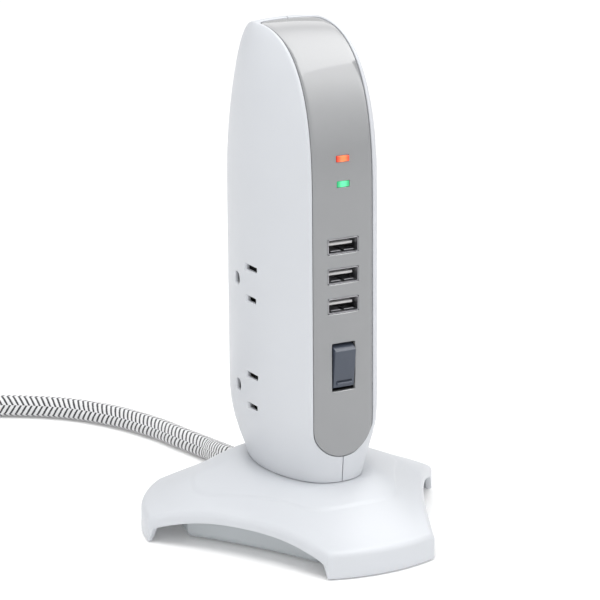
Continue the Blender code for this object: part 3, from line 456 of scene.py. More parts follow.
def moulded(name, colour, roughness, mottle=0.012, grain=0.10, coat=0.0):
    """Satin moulded plastic: a little uneven in colour and gloss, with a fine spark texture."""
    made = Finish(name)
    cloud = made.noise(38.0, 3.0)
    fine = made.noise(900.0, 2.0)
    low = tuple(max(0.0, c - mottle) for c in colour) + (1.0,)
    high = tuple(c + mottle for c in colour) + (1.0,)
    return made.wear(base_color=made.blend(cloud, low, high),
                     roughness=roughness - 0.04 + cloud * 0.05 + fine * 0.03,
                     normal=made.bump(made.noise(3400.0, 2.0) * 0.6 + fine * 0.4, grain, 0.0001),
                     coat_weight=coat)


white_moulding = moulded("plug_moulding", (0.70, 0.71, 0.73), 0.42)
plug = place_piece("plug_moulding",
                   prism("plug_moulding", rounded_box_outline(*PLUG_HALF, 0.0042), plug_stations(),
                         plug_spot),
                   white_moulding, ["plug_body"], angle=40.0)


def metal(name, colour, roughness, streak=0.06):
    """Plated or rolled metal with a drawn grain and some dulling."""
    made = Finish(name)
    stretched = made.add("Mapping", None, {"Vector": made.place(), "Scale": (1.0, 1.0, 0.06)})
    grain = made.noise(2600.0, 3.0, stretched)
    tarnish = made.noise(150.0, 3.0)
    dull = tuple(c * 0.72 for c in colour) + (1.0,)
    return made.wear(base_color=made.blend(tarnish * 0.6, colour + (1.0,), dull), metallic=1.0,
                     roughness=roughness + grain * streak + tarnish * 0.10,
                     normal=made.bump(grain, 0.08, 0.0001))


def dress(finish, slot, *names):
    """Give CAD nodes that stay as they are a finish."""
    for name in names:
        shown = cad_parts[name]
        shown.data.materials.clear()
        shown.data.materials.append(finish.made)


brass = metal("brass", (0.78, 0.60, 0.30), 0.24)
dress(brass, "brass_contact", "plug_blade_hot", "plug_blade_neutral", "plug_ground_pin",
      "left_hot_strip", "left_neutral_strip", "left_ground_strip", "right_hot_strip",
      "right_neutral_strip", "right_ground_strip", "switch_tab_line", "switch_tab_load",
      "switch_tab_lamp")


# ---- Base skirt
# White moulded cover: a flat seat under the tower, falling in a dome to three feet, with its
# edges turned down and hollowed between the feet. A low plateau is raised round the seat.

FOOT_RADIUS = 0.0666
FOOT_HALF_ANGLE = math.radians(21)
FOOT_ANGLES = [math.radians(a) for a in (-90, 30, 150)]
SCALLOP_SAG = 0.0039
SEAT_HEIGHT = 0.027
SEAT_HALF = 0.0205
SEAT_REACH = 0.0318
FOOT_EDGE = 0.0105
SCALLOP_EDGE = 0.0163
SKIRT_TIP = 0.0005
ARCH_START = 0.0054
ARCH_EDGE = 0.0123
SKIRT_WALL = 0.0022
SKIRT_FILLET = 0.0018
SKIRT_LIP = 0.0005
SKIRT_BAND = 0.011
HOLE_RADIUS = 0.009
CORD_NOTCH = (0.038, 0.054)
SEAT_POWER = 3
DOME_POWER = 1.7
EDGE_POWER = 1.3
ROLL_POWER = 1.8
PLATEAU_ARC = 0.0118
PLATEAU_RADIUS = 0.0455
PLATEAU_STEP = 0.0004
PLATEAU_SLOPE = 0.0008
PLATEAU_CORNER = 0.004
BASE_Y = FOOT_RADIUS * (1 - math.sin(math.radians(30) + FOOT_HALF_ANGLE)) / 2
gap_half = math.radians(60) - FOOT_HALF_ANGLE
chord_at = FOOT_RADIUS * math.cos(gap_half)
chord_half = FOOT_RADIUS * math.sin(gap_half)
SCALLOP_RADIUS = (chord_half ** 2 + SCALLOP_SAG ** 2) / (2 * SCALLOP_SAG)
SCALLOP_MIDDLE = chord_at - SCALLOP_SAG + SCALLOP_RADIUS


def tripod(foot_radius, inset, foot_steps=22, gap_steps=38):
    """The three-footed outline, its hollow arcs moved in by the inset."""
    reach = SCALLOP_RADIUS + inset
    cosine = (SCALLOP_MIDDLE ** 2 + foot_radius ** 2 - reach ** 2) / (2 * SCALLOP_MIDDLE * foot_radius)
    half_foot = math.radians(60) - math.acos(cosine)
    half_gap = math.asin(foot_radius * math.sin(math.acos(cosine)) / reach)
    outline = []
    for foot in FOOT_ANGLES:
        for step in range(foot_steps):
            angle = foot - half_foot + 2 * half_foot * step / foot_steps
            outline.append((foot_radius * math.cos(angle), foot_radius * math.sin(angle)))
        side = foot + math.radians(60)
        for step in range(gap_steps):
            angle = half_gap - 2 * half_gap * step / gap_steps
            away = SCALLOP_MIDDLE - reach * math.cos(angle)
            along = reach * math.sin(angle)
            outline.append((away * math.cos(side) + along * math.sin(side),
                            away * math.sin(side) - along * math.cos(side)))
    return outline


def from_scallop(x, y):
    """How far a point lies inside the nearest hollow arc."""
    return min(math.hypot(x - SCALLOP_MIDDLE * math.cos(foot + math.radians(60)),
                          y - SCALLOP_MIDDLE * math.sin(foot + math.radians(60))) - SCALLOP_RADIUS
               for foot in FOOT_ANGLES)


def seat_radius(x, y):
    """Radius of the flat seat under the tower, in the direction of a point."""
    away = math.hypot(x, y)
    across = abs(x) / away / SEAT_HALF
    along = abs(y) / away / SEAT_REACH
    return (across ** SEAT_POWER + along ** SEAT_POWER) ** (-1 / SEAT_POWER)


def skirt_height(x, y):
    """Height of the skirt's top, with the plateau's low step."""
    radius = math.hypot(x, y)
    seat = seat_radius(x, y)
    beyond = max(0.0, radius - seat)
    dome = SEAT_HEIGHT - (SEAT_HEIGHT - FOOT_EDGE) * (beyond / (FOOT_RADIUS - seat)) ** DOME_POWER
    low = chord_at - SCALLOP_SAG
    share = min(1.0, max(0.0, (radius - low) / (FOOT_RADIUS - low))) ** EDGE_POWER
    edge = SCALLOP_EDGE + (FOOT_EDGE - SCALLOP_EDGE) * share
    inside = max(0.0, from_scallop(x, y))
    roll = inside / (inside + beyond) if beyond else 1.0
    height = edge + (max(dome, edge) - edge) * (1 - (1 - roll) ** ROLL_POWER)
    to_arc = inside - PLATEAU_ARC
    to_foot = PLATEAU_RADIUS - radius
    mixed = max(0.0, min(1.0, 0.5 + (to_foot - to_arc) / (2 * PLATEAU_CORNER)))
    depth = to_foot + (to_arc - to_foot) * mixed - PLATEAU_CORNER * mixed * (1 - mixed)
    fade = ease(inside / 0.006) * ease((FOOT_RADIUS - radius) / 0.008)
    return height - PLATEAU_STEP * (1 - ease(depth / PLATEAU_SLOPE + 0.5)) * fade


def flange_height(x, y):
    """Height of the skirt's lower edge: down to the floor at the feet, arched between them."""
    inward = max(0.0, FOOT_RADIUS - math.hypot(x, y)) / (FOOT_RADIUS - chord_at + SCALLOP_SAG)
    leg = math.sin(min(1.0, inward / 0.12) * math.pi / 2) ** 0.7
    arch = 1 - (1 - min(1.0, inward)) ** EDGE_POWER
    return SKIRT_TIP + (ARCH_START - SKIRT_TIP) * leg + (ARCH_EDGE - ARCH_START) * arch


def skirt_rings():
    """Rings from the lower edge, up the outside and in to the cable hole, and back underneath."""
    outside = tripod(FOOT_RADIUS, 0.0)
    lows = [flange_height(x, y) for x, y in outside]
    tops = [skirt_height(x, y) for x, y in outside]
    fillet, lip = SKIRT_FILLET, SKIRT_LIP
    rings = []

    def level_ring(inset, lift):
        """A ring that follows the lower edge."""
        outline = tripod(FOOT_RADIUS - inset, inset)
        return [(x, y, low + lift) for (x, y), low in zip(outline, lows)]

    def top_ring(inset, drop):
        """A ring that follows the top."""
        return [(x, y, skirt_height(x, y) - drop) for x, y in tripod(FOOT_RADIUS - inset, inset)]
    for inset, lift in ((lip, 0.0), (lip * 0.3, lip * 0.3), (0.0, lip)):
        rings.append(level_ring(inset, lift))
    for share in (0.25, 0.5, 0.75):
        rings.append([(x, y, low + lip + (top - fillet - low - lip) * share)
                      for (x, y), low, top in zip(outside, lows, tops)])
    for angle in range(0, 91, 15):
        turn = math.radians(angle)
        rings.append(top_ring(fillet * (1 - math.cos(turn)), fillet * (1 - math.sin(turn))))
    insets = [fillet + (SKIRT_BAND - fillet) * step / 20 for step in range(1, 21)]
    rings += [top_ring(inset, 0.0) for inset in insets]
    last = [(x, y) for x, y, z in rings[-1]]

    def drawn_in(share, drop):
        """The last ring drawn in to the seat, from share 1 to 0, and on to the cable hole at -1."""
        out = []
        for x, y in last:
            radius, seat = math.hypot(x, y), seat_radius(x, y)
            far = seat + (radius - seat) * share if share > 0 else seat + (seat - HOLE_RADIUS) * share
            scale = far / radius
            out.append((x * scale, y * scale, skirt_height(x * scale, y * scale) - drop))
        return out
    inward = [1 - step / 36 for step in range(1, 36)] + [0.0, -0.25, -0.5, -0.75, -1.0]
    rings += [drawn_in(share, 0.0) for share in inward]
    rings += [drawn_in(share, SKIRT_WALL) for share in reversed(inward[::4] + [-1.0])]
    rings += [top_ring(inset, SKIRT_WALL) for inset in reversed(insets[6::3])]
    rings.append(top_ring(SKIRT_WALL, SKIRT_WALL + 0.0008))
    wall = tripod(FOOT_RADIUS - SKIRT_WALL, SKIRT_WALL)
    for share in (0.5, 0.0):
        rings.append([(x, y, low + lip + (skirt_height(x, y) - SKIRT_WALL - low) * share)
                      for (x, y), low in zip(wall, lows)])
    rings.append(level_ring(SKIRT_WALL - lip, 0.0))
    return [[(x, BASE_Y + y, z) for x, y, z in ring] for ring in rings]


def cutter(mesh):
    """A short-lived object that a mesh is cut or joined through."""
    made = bpy.data.objects.new(mesh.name + "_cutter", mesh)
    bpy.context.scene.collection.objects.link(made)
    return made


def carved(name, mesh, cutters, operation="DIFFERENCE"):
    """The mesh with other meshes cut from it, or joined to it, one after another."""
    body = cutter(mesh)
    tools = [cutter(tool) for tool in cutters]
    for tool in tools:
        cut = body.modifiers.new("cut", "BOOLEAN")
        cut.solver = "EXACT"
        cut.operation = operation
        cut.object = tool
    graph = bpy.context.evaluated_depsgraph_get()
    made = bpy.data.meshes.new_from_object(body.evaluated_get(graph))
    made.name = name
    for spent in [body] + tools:
        bpy.data.objects.remove(spent)
    work = bmesh.new()
    work.from_mesh(made)
    bmesh.ops.remove_doubles(work, verts=work.verts, dist=0.00001)
    bmesh.ops.dissolve_degenerate(work, dist=0.000005, edges=work.edges)
    work.to_mesh(made)
    work.free()
    return made


def rod(name, radius, start, end, steps=40):
    """A round bar between two points."""
    start, end = Vector(start), Vector(end)
    turn = (end - start).to_track_quat("Z", "Y").to_matrix().to_4x4()
    place = Matrix.Translation((start + end) / 2) @ turn

    def build(work):
        bmesh.ops.create_cone(work, cap_ends=True, segments=steps, radius1=radius, radius2=radius,
                              depth=(end - start).length, matrix=place)
    return mesh_of(name, build)


def bar(name, size, centre):
    """A plain box."""
    def build(work):
        bmesh.ops.create_cube(work, size=1.0, matrix=Matrix.Translation(centre)
                              @ Matrix.Diagonal((*size, 1.0)))
    return mesh_of(name, build)


def skirt_mesh():
    """The skirt, with a round-topped notch at the back for the lead."""
    def build(work):
        rings = skirt_rings()
        loft(work, rings + rings[:1])
    notch = RELIEF_RADII[0] + 0.0006
    shell = mesh_of("skirt_shell", build)
    near, far = (BASE_Y + y for y in CORD_NOTCH)
    below = 0.012
    cuts = [rod("cord_notch", notch, (0, near, RELIEF_EXIT[2]), (0, far, RELIEF_EXIT[2])),
            bar("cord_notch_foot", (2 * notch, far - near, below),
                (0, (near + far) / 2, RELIEF_EXIT[2] - below / 2))]
    return carved("domed_skirt", shell, cuts)


white_abs = moulded("white_abs", (0.602, 0.621, 0.652), 0.38).wear(specular_ior_level=0.35)
place_piece("domed_skirt", skirt_mesh(), white_abs, ["base_skirt"], angle=32.0)


# ---- Base tub
# Light grey tray with a rounded lower edge that closes the base from below, with seats for three
# rubber pads and three screws; its grey is darkened beyond the plastic's own as painted shade from the
# skirt above. A steel ballast plate lies inside it.

TUB_RADIUS = 0.051
TUB_INSET = 0.0084
TUB_LEVELS = (0.001, 0.0145)
TUB_ROLL = 0.0036
TUB_WALL = 0.002
TUB_CORNER = 0.001
SCREW_SEAT = 0.0036
SEAT_GAP = 0.0003
PAD_RADIUS = 0.0055
PAD_HEIGHT = 0.0013
PAD_AT = 0.0435
BASE_SCREW_AT = 0.033


def polar(radius, angle):
    """A place on the base, about its middle."""
    return radius * math.cos(angle), BASE_Y + radius * math.sin(angle)


def tub_mesh():
    """The tray, with its pad seats, screw seats and the hole for the strain relief's neck."""
    def build(work):
        rings = []
        for step in range(9):
            turn = math.radians(90) * step / 8
            pull = TUB_ROLL * (1 - math.sin(turn))
            rings.append([(x, BASE_Y + y, TUB_LEVELS[0] + TUB_ROLL * (1 - math.cos(turn)))
                          for x, y in tripod(TUB_RADIUS - pull, TUB_INSET + pull)])
        for share in (0.5, 1.0):
            height = TUB_LEVELS[0] + TUB_ROLL + (TUB_LEVELS[1] - TUB_LEVELS[0] - TUB_ROLL) * share
            rings.append([(x, BASE_Y + y, height) for x, y in tripod(TUB_RADIUS, TUB_INSET)])
        inner_floor = TUB_LEVELS[0] + TUB_WALL
        for drawn_in, height in ((0.0, TUB_LEVELS[1]), (0.0, inner_floor + TUB_CORNER),
                                 (TUB_CORNER, inner_floor)):
            pull = TUB_WALL + drawn_in
            rings.append([(x, BASE_Y + y, height) for x, y in tripod(TUB_RADIUS - pull, TUB_INSET + pull)])
        rows = loft(work, rings)
        work.faces.new(rows[0])
        work.faces.new(rows[-1])
    cuts = []
    for number, foot in enumerate(FOOT_ANGLES):
        x, y = polar(BASE_SCREW_AT, foot)
        cuts.append(rod(f"screw_seat_{number}", SCREW_SEAT, (x, y, -0.002), (x, y, 0.0020)))
        x, y = polar(PAD_AT, foot)
        cuts.append(rod(f"pad_seat_{number}", PAD_RADIUS + SEAT_GAP, (x, y, -0.002),
                        (x, y, PAD_HEIGHT + SEAT_GAP)))
    cuts.append(rod("relief_hole", RELIEF_NECK + SEAT_GAP, (0, BASE_Y + 0.030, RELIEF_EXIT[2]),
                    (0, BASE_Y + 0.045, RELIEF_EXIT[2])))
    return carved("rounded_tub", mesh_of("tub_shell", build), cuts)


# Light grey plastic, its colour darkened further as painted shade from the skirt above the tub.
place_piece("rounded_tub", tub_mesh(), moulded("grey_abs", (0.49, 0.52, 0.54), 0.46),
            ["base_tub"])
steel = metal("zinc_steel", (0.62, 0.63, 0.65), 0.30)
dress(steel, "zinc_steel", "ballast_plate")


# ---- Pads and screws
# Three anti-slip pads with a ring moulded in their faces, and ten pan-head screws with crossed
# recesses: three up into the skirt, four into the tower and three across its halves.

PAD_RING = (0.0046, 0.0038)


def tree_of(name, inputs):
    """An empty node tree with named size inputs; the caller fills in what stands on each point."""
    tree = bpy.data.node_groups.new(name, "GeometryNodeTree")
    tree.interface.new_socket("Geometry", in_out="INPUT", socket_type="NodeSocketGeometry")
    for title, kind, value in inputs:
        made = tree.interface.new_socket(title, in_out="INPUT", socket_type=kind)
        if value is not None:
            made.default_value = value
    tree.interface.new_socket("Geometry", in_out="OUTPUT", socket_type="NodeSocketGeometry")
    return tree


def grown(tree, kind, values=None, settings=None):
    """One geometry node, with its sockets set or linked."""
    made = tree.nodes.new(kind)
    for key, value in (settings or {}).items():
        setattr(made, key, value)
    for key, value in (values or {}).items():
        if isinstance(value, bpy.types.NodeSocket):
            tree.links.new(value, made.inputs[key])
        else:
            made.inputs[key].default_value = value
    return made


def stood_on_points(tree, source, shape, turn):
    """Instance a shape on every point, make it real and give it its material."""
    spread = grown(tree, "GeometryNodeInstanceOnPoints",
                   {"Points": source.outputs["Geometry"], "Instance": shape, "Rotation": turn})
    real = grown(tree, "GeometryNodeRealizeInstances", {0: spread.outputs[0]})
    finish = grown(tree, "GeometryNodeSetMaterial",
                   {"Geometry": real.outputs[0], "Material": source.outputs["Finish"]})
    out = tree.nodes.new("NodeGroupOutput")
    tree.links.new(finish.outputs[0], out.inputs[0])


def screw_tree():
    """A pan head with a crossed recess on a shank, pointing along +Z."""
    tree = tree_of("pan_head_screws", [
        ("Head Radius", "NodeSocketFloat", 0.003), ("Head Height", "NodeSocketFloat", 0.0014),
        ("Shank Radius", "NodeSocketFloat", 0.001), ("Shank Length", "NodeSocketFloat", 0.010),
        ("Turn", "NodeSocketVector", (0, 0, 0)), ("Finish", "NodeSocketMaterial", None)])
    source = tree.nodes.new("NodeGroupInput")
    size = source.outputs

    def maths(operation, first, second):
        return grown(tree, "ShaderNodeMath", {0: first, 1: second}, {"operation": operation}).outputs[0]

    def lifted(shape, height, turn=(0, 0, 0)):
        place = grown(tree, "ShaderNodeCombineXYZ", {2: height}).outputs[0]
        return grown(tree, "GeometryNodeTransform",
                     {"Geometry": shape, "Translation": place, "Rotation": turn}).outputs[0]
    crown = grown(tree, "GeometryNodeMeshCone",
                  {"Vertices": 28, "Radius Top": size["Head Radius"],
                   "Radius Bottom": maths("MULTIPLY", size["Head Radius"], 0.80),
                   "Depth": maths("MULTIPLY", size["Head Height"], 0.45)}).outputs["Mesh"]
    skirt = grown(tree, "GeometryNodeMeshCylinder",
                  {"Vertices": 28, "Radius": size["Head Radius"],
                   "Depth": maths("MULTIPLY", size["Head Height"], 0.56)}).outputs["Mesh"]
    shank = grown(tree, "GeometryNodeMeshCylinder",
                  {"Vertices": 16, "Radius": size["Shank Radius"],
                   "Depth": size["Shank Length"]}).outputs["Mesh"]
    tip = grown(tree, "GeometryNodeMeshCone",
                {"Vertices": 16, "Radius Top": 0.0002, "Radius Bottom": size["Shank Radius"],
                 "Depth": 0.0011}).outputs["Mesh"]
    blade = grown(tree, "ShaderNodeCombineXYZ",
                  {0: maths("MULTIPLY", size["Head Radius"], 1.15),
                   1: maths("MULTIPLY", size["Head Radius"], 0.24),
                   2: maths("MULTIPLY", size["Head Height"], 1.3)}).outputs[0]
    cross = grown(tree, "GeometryNodeMeshCube", {"Size": blade}).outputs["Mesh"]
    head = grown(tree, "GeometryNodeMeshBoolean", {"Mesh 2": lifted(crown, maths(
        "MULTIPLY", size["Head Height"], 0.225))}, {"operation": "UNION", "solver": "EXACT"})
    for part in (lifted(skirt, maths("MULTIPLY", size["Head Height"], 0.72)),
                 lifted(shank, maths("MULTIPLY", size["Shank Length"], 0.5))):
        tree.links.new(part, head.inputs["Mesh 2"])
    tree.links.new(lifted(tip, maths("ADD", size["Shank Length"], 0.00054)), head.inputs["Mesh 2"])
    recess = grown(tree, "GeometryNodeMeshBoolean",
                   {"Mesh 1": head.outputs["Mesh"], "Mesh 2": cross},
                   {"operation": "DIFFERENCE", "solver": "EXACT"})
    tree.links.new(lifted(cross, 0.0, (0, 0, math.pi / 2)), recess.inputs["Mesh 2"])
    stood_on_points(tree, source, recess.outputs["Mesh"], size["Turn"])
    return tree


def pad_tree():
    """A low rubber disc with a raised ring on its lower face."""
    tree = tree_of("rubber_pads", [
        ("Radius", "NodeSocketFloat", PAD_RADIUS), ("Finish", "NodeSocketMaterial", None)])
    source = tree.nodes.new("NodeGroupInput")
    size = source.outputs
    disc, ring, dish = (
        grown(tree, "GeometryNodeMeshCylinder",
              {"Vertices": 56, "Radius": radius, "Depth": depth}).outputs["Mesh"]
        for radius, depth in ((size["Radius"], 0.0010), (PAD_RING[0], 0.0010), (PAD_RING[1], 0.0006)))

    def lifted(shape, height):
        return grown(tree, "GeometryNodeTransform",
                     {"Geometry": shape, "Translation": (0, 0, height)}).outputs[0]
    both = grown(tree, "GeometryNodeMeshBoolean", {"Mesh 2": lifted(disc, 0.0008)},
                 {"operation": "UNION", "solver": "EXACT"})
    tree.links.new(lifted(ring, 0.0005), both.inputs["Mesh 2"])
    pad = grown(tree, "GeometryNodeMeshBoolean",
                {"Mesh 1": both.outputs["Mesh"], "Mesh 2": lifted(dish, 0.0)},
                {"operation": "DIFFERENCE", "solver": "EXACT"})
    stood_on_points(tree, source, pad.outputs["Mesh"], (0, 0, 0))
    return tree


def grow_piece(name, tree, points, sizes, finish, nodes):
    """Run a tree on points, keep the result as a plain mesh, and place it."""
    seeds = bpy.data.meshes.new(name + "_points")
    seeds.from_pydata(points, [], [])
    holder = bpy.data.objects.new(name + "_points", seeds)
    bpy.context.scene.collection.objects.link(holder)
    grow = holder.modifiers.new("grow", "NODES")
    grow.node_group = tree
    for item in tree.interface.items_tree:
        if item.name in sizes and item.in_out == "INPUT":
            grow[item.identifier] = sizes[item.name]
        elif item.name == "Finish":
            grow[item.identifier] = finish.made
    graph = bpy.context.evaluated_depsgraph_get()
    mesh = bpy.data.meshes.new_from_object(holder.evaluated_get(graph))
    bpy.data.objects.remove(holder)
    return place_piece(name, mesh, finish, nodes)


screws = screw_tree()
tower_screw_spots = [(x, BASE_Y + y, SEAT_HEIGHT - SKIRT_WALL - 0.0018)
                     for x in (-0.0110, 0.0110) for y in (-0.0140, 0.0165)]
housing_screw_spots = [(0.0104, BASE_Y + y, z)
                       for y, z in ((0.0240, 0.0480), (-0.0190, 0.0400), (0.0235, 0.1450))]
grow_piece("tub_screws", screws, [(*polar(BASE_SCREW_AT, foot), 0.0005) for foot in FOOT_ANGLES],
           {"Shank Length": 0.0109}, steel, [f"tub_screw_{n}" for n in (1, 2, 3)])
grow_piece("tower_screws", screws, tower_screw_spots, {"Shank Radius": 0.0012, "Shank Length": 0.0111},
           steel, [f"tower_screw_{n}" for n in (1, 2, 3, 4)])
grow_piece("housing_screws", screws, housing_screw_spots,
           {"Head Radius": 0.0028, "Shank Length": 0.0202, "Turn": (0, -math.pi / 2, 0)}, steel,
           [f"housing_screw_{n}" for n in (1, 2, 3)])
grow_piece("anti_slip_pads", pad_tree(), [(*polar(PAD_AT, foot), 0.0) for foot in FOOT_ANGLES], {},
           rubber("pad_rubber", 0.022), [f"rubber_pad_{n}" for n in (1, 2, 3)])


# ---- Tower shell
# Two white moulded halves that meet on the middle plane: a lens in plan, domed at the top and
# drawn in at the foot, with a soft bead along the front edge, slots for two outlets a side, and
# a recess that runs over the top for the front strip.

TOWER_FRONT = -0.032
TOWER_BACK = 0.0355
TOWER_BOTTOM = SEAT_HEIGHT + 0.0003
TOWER_TOP = 0.2055
APEX_Y = 0.014
SPRING_Z = 0.140
FRONT_POWER = 2.65
BACK_POWER = 1.9
RIM_HALF = 0.0150
RIM_HALF_TOP = 0.0145
BULGE = 0.0115
CROWN = 0.0009
CHIN_Z = 0.060
CHIN_HEIGHT = 0.040
CHIN_DEPTH = 0.018
CHIN_LEAN = 0.22
CHIN_ROUND_Z = 0.052
CHIN_ROUND_HEIGHT = 0.019
CHIN_ROUND_PASSES = 26
HOUSING_WALL = 0.0024
LEDGE = 0.0012
SEAM = 0.0002
EDGE_SOFTNESS = 0.0009
OUTLET_Z = (0.1052, 0.0612)
SLOT_Y = -0.0045
SLOT_PITCH = 0.0127
GROUND_BEHIND = 0.0119
SLOT_LENGTHS = {1: 0.0081, -1: 0.0066}
SLOT_WIDTH = 0.0021
GROUND_RADIUS = 0.0025
SLOT_FLARE = 0.0007
SLOT_CAVITY = 0.0009
SIDE_REACH = 0.0262


def chin(z):
    """How far the lower end of the tower draws in at a height."""
    drop = max(0.0, (CHIN_Z - z) / CHIN_HEIGHT)
    return CHIN_DEPTH * (1 - math.sqrt(max(0.0, 1 - drop ** 2)))


def tower_rows(inset, low, rows_up, rows_over):
    """Front edge, back edge, rim half-width and swell for each row, from the bottom to the apex."""
    rows = []
    ledge = inset + (LEDGE if inset else 0.0)
    for step in range(rows_up):
        share = step / rows_up
        z = low + (SPRING_Z - low) * (1 - (1 - share) ** 1.4)
        pull = chin(max(z, TOWER_BOTTOM))
        front = Vector((TOWER_FRONT + ledge + CHIN_LEAN * pull, z))
        rear = Vector((TOWER_BACK - inset - 0.6 * pull, z))
        rows.append((front, rear, RIM_HALF - inset - 0.6 * pull, BULGE - 0.35 * pull))
    for step in range(rows_over + 1):
        angle = math.radians(90) * step / rows_over
        across = max(0.0, math.cos(angle))
        rise = math.sin(angle)
        height = TOWER_TOP - ledge - SPRING_Z
        front = Vector((APEX_Y - (APEX_Y - TOWER_FRONT - ledge) * across ** (2 / FRONT_POWER),
                        SPRING_Z + height * rise ** (2 / FRONT_POWER)))
        rear = Vector((APEX_Y + (TOWER_BACK - inset - APEX_Y) * across ** (2 / BACK_POWER),
                       SPRING_Z + height * rise ** (2 / BACK_POWER)))
        chord = (rear - front).length / (TOWER_BACK - TOWER_FRONT)
        rim = RIM_HALF + (RIM_HALF_TOP - RIM_HALF) * rise - inset
        rows.append((front, rear, rim, BULGE * min(1.0, chord) ** 1.7))
    return rows


def outward(rows, index, side):
    """Direction out of the front (0) or back (1) edge in the side view."""
    before = rows[max(0, index - 1)][side]
    after = rows[min(len(rows) - 1, index + 1)][side]
    run = (after - before).normalized()
    return Vector((-run.y, run.x)) if side == 0 else Vector((run.y, -run.x))


def softened(points, corner, reach, steps=6):
    """Replace one corner of a line of points with a curve."""
    middle = Vector(points[corner])
    ways = [Vector(points[corner - 1]) - middle, Vector(points[corner + 1]) - middle]
    ends = [middle + way.normalized() * min(reach, way.length * 0.45) if way.length > 1e-6 else middle
            for way in ways]
    curve = []
    for step in range(steps + 1):
        t = step / steps
        curve.append(ends[0] * (1 - t) ** 2 + middle * 2 * t * (1 - t) + ends[1] * t ** 2)
    return points[:corner] + [tuple(p) for p in curve] + points[corner + 1:]


def eased_line(points, weight, passes):
    """Draw each point of a half ring toward its neighbours, as if the ring went on beyond both ends."""
    line = [Vector(point) for point in points]
    over = Matrix.Diagonal((-1, 1, 1))
    for _ in range(passes):
        beyond = [over @ line[1]] + line + [over @ line[-2]]
        line = [point.lerp((before + after) / 2, weight * 0.8)
                for before, point, after in zip(beyond, line, beyond[2:])]
    return [tuple(point) for point in line]


def ring_of(rows, index, band_steps, wall_steps, soft):
    """Half of one ring around the tower, from the front seam to the back seam, on the left."""
    front, rear, rim, swell = rows[index]
    points = []
    for step in range(band_steps + 1):
        share = step / band_steps
        at = front + outward(rows, index, 0) * CROWN * (1 - share ** 2)
        points.append((-rim * share, BASE_Y + at.x, at.y))
    for step in range(1, wall_steps):
        share = step / wall_steps
        at = front.lerp(rear, share)
        points.append((-rim - swell * (1 - (2 * share - 1) ** 2), BASE_Y + at.x, at.y))
    for step in range(band_steps + 1):
        share = 1 - step / band_steps
        at = rear + outward(rows, index, 1) * CROWN * (1 - share ** 2)
        points.append((-rim * share, BASE_Y + at.x, at.y))
    round_low = ease((CHIN_ROUND_Z - front.y) / CHIN_ROUND_HEIGHT)
    if soft and round_low > 0:
        points = eased_line(points, round_low, CHIN_ROUND_PASSES)
    if soft:
        points = softened(points, band_steps + wall_steps, soft)
        points = softened(points, band_steps, soft)
    return points


def tower_form(name, inset, low, detail, soft=0.0):
    """The tower's whole outer form as a closed solid, drawn in by the inset.

    The detail is the rows up the wall and over the dome, and the steps across a rim and a wall.
    """
    rows_up, rows_over, band_steps, wall_steps = detail
    rows = tower_rows(inset, low, rows_up, rows_over)

    def build(work):
        rings = []
        for index in range(len(rows)):
            half = ring_of(rows, index, band_steps, wall_steps, soft)
            rings.append(half + [(-x, y, z) for x, y, z in reversed(half[1:-1])])
        made = loft(work, rings)
        work.faces.new(made[0])
        bmesh.ops.remove_doubles(work, verts=work.verts, dist=0.00002)
        bmesh.ops.dissolve_degenerate(work, dist=0.00001, edges=work.edges)
        bmesh.ops.holes_fill(work, edges=[e for e in work.edges if e.is_boundary], sides=0)
    return mesh_of(name, build)


# The strip's outline is laid out flat, as distance across and along, then wrapped over the front.
SPRING_ROW = 60
front_rows = tower_rows(0.0, TOWER_BOTTOM, SPRING_ROW, 90)
front_line = np.array([tuple(row[0]) for row in front_rows])
front_walk = np.concatenate([[0], np.cumsum(np.linalg.norm(np.diff(front_line, axis=0), axis=1))])
front_run = np.gradient(front_line, axis=0)
STRIP_HALF = 0.0131
STRIP_LOW = 0.0381
STRIP_END_Y = 0.0115
STRIP_THICK = 0.0016
STRIP_SINK = 0.0004
STRIP_CORNER = 0.0030


def on_front(x, along, lift):
    """A point across and along the front face, raised from it, as a place."""
    y, z = (np.interp(along, front_walk, front_line[:, axis]) for axis in (0, 1))
    run = Vector([np.interp(along, front_walk, front_run[:, axis]) for axis in (0, 1)]).normalized()
    raised = lift + CROWN * (1 - (x / RIM_HALF) ** 2)
    return (x, BASE_Y + y - run.y * raised, z + run.x * raised)


def strip_outline():
    """Right-hand edge of the strip from its lowest point to its top corner, with outward directions."""
    low = np.interp(STRIP_LOW, front_line[:, 1], front_walk)
    high = np.interp(STRIP_END_Y, front_line[SPRING_ROW:, 0], front_walk[SPRING_ROW:])
    edge = []
    for step in range(25):
        turn = math.radians(90) * step / 24
        edge.append((STRIP_HALF * math.sin(turn), low + STRIP_HALF * (1 - math.cos(turn)),
                     math.sin(turn), -math.cos(turn)))
    start, stop = low + STRIP_HALF, high - STRIP_CORNER
    edge += [(STRIP_HALF, start + (stop - start) * step / 100, 1.0, 0.0) for step in range(1, 100)]
    for step in range(9):
        turn = math.radians(90) * step / 8
        edge.append((STRIP_HALF - STRIP_CORNER * (1 - math.cos(turn)),
                     stop + STRIP_CORNER * math.sin(turn), math.cos(turn), math.sin(turn)))
    return edge


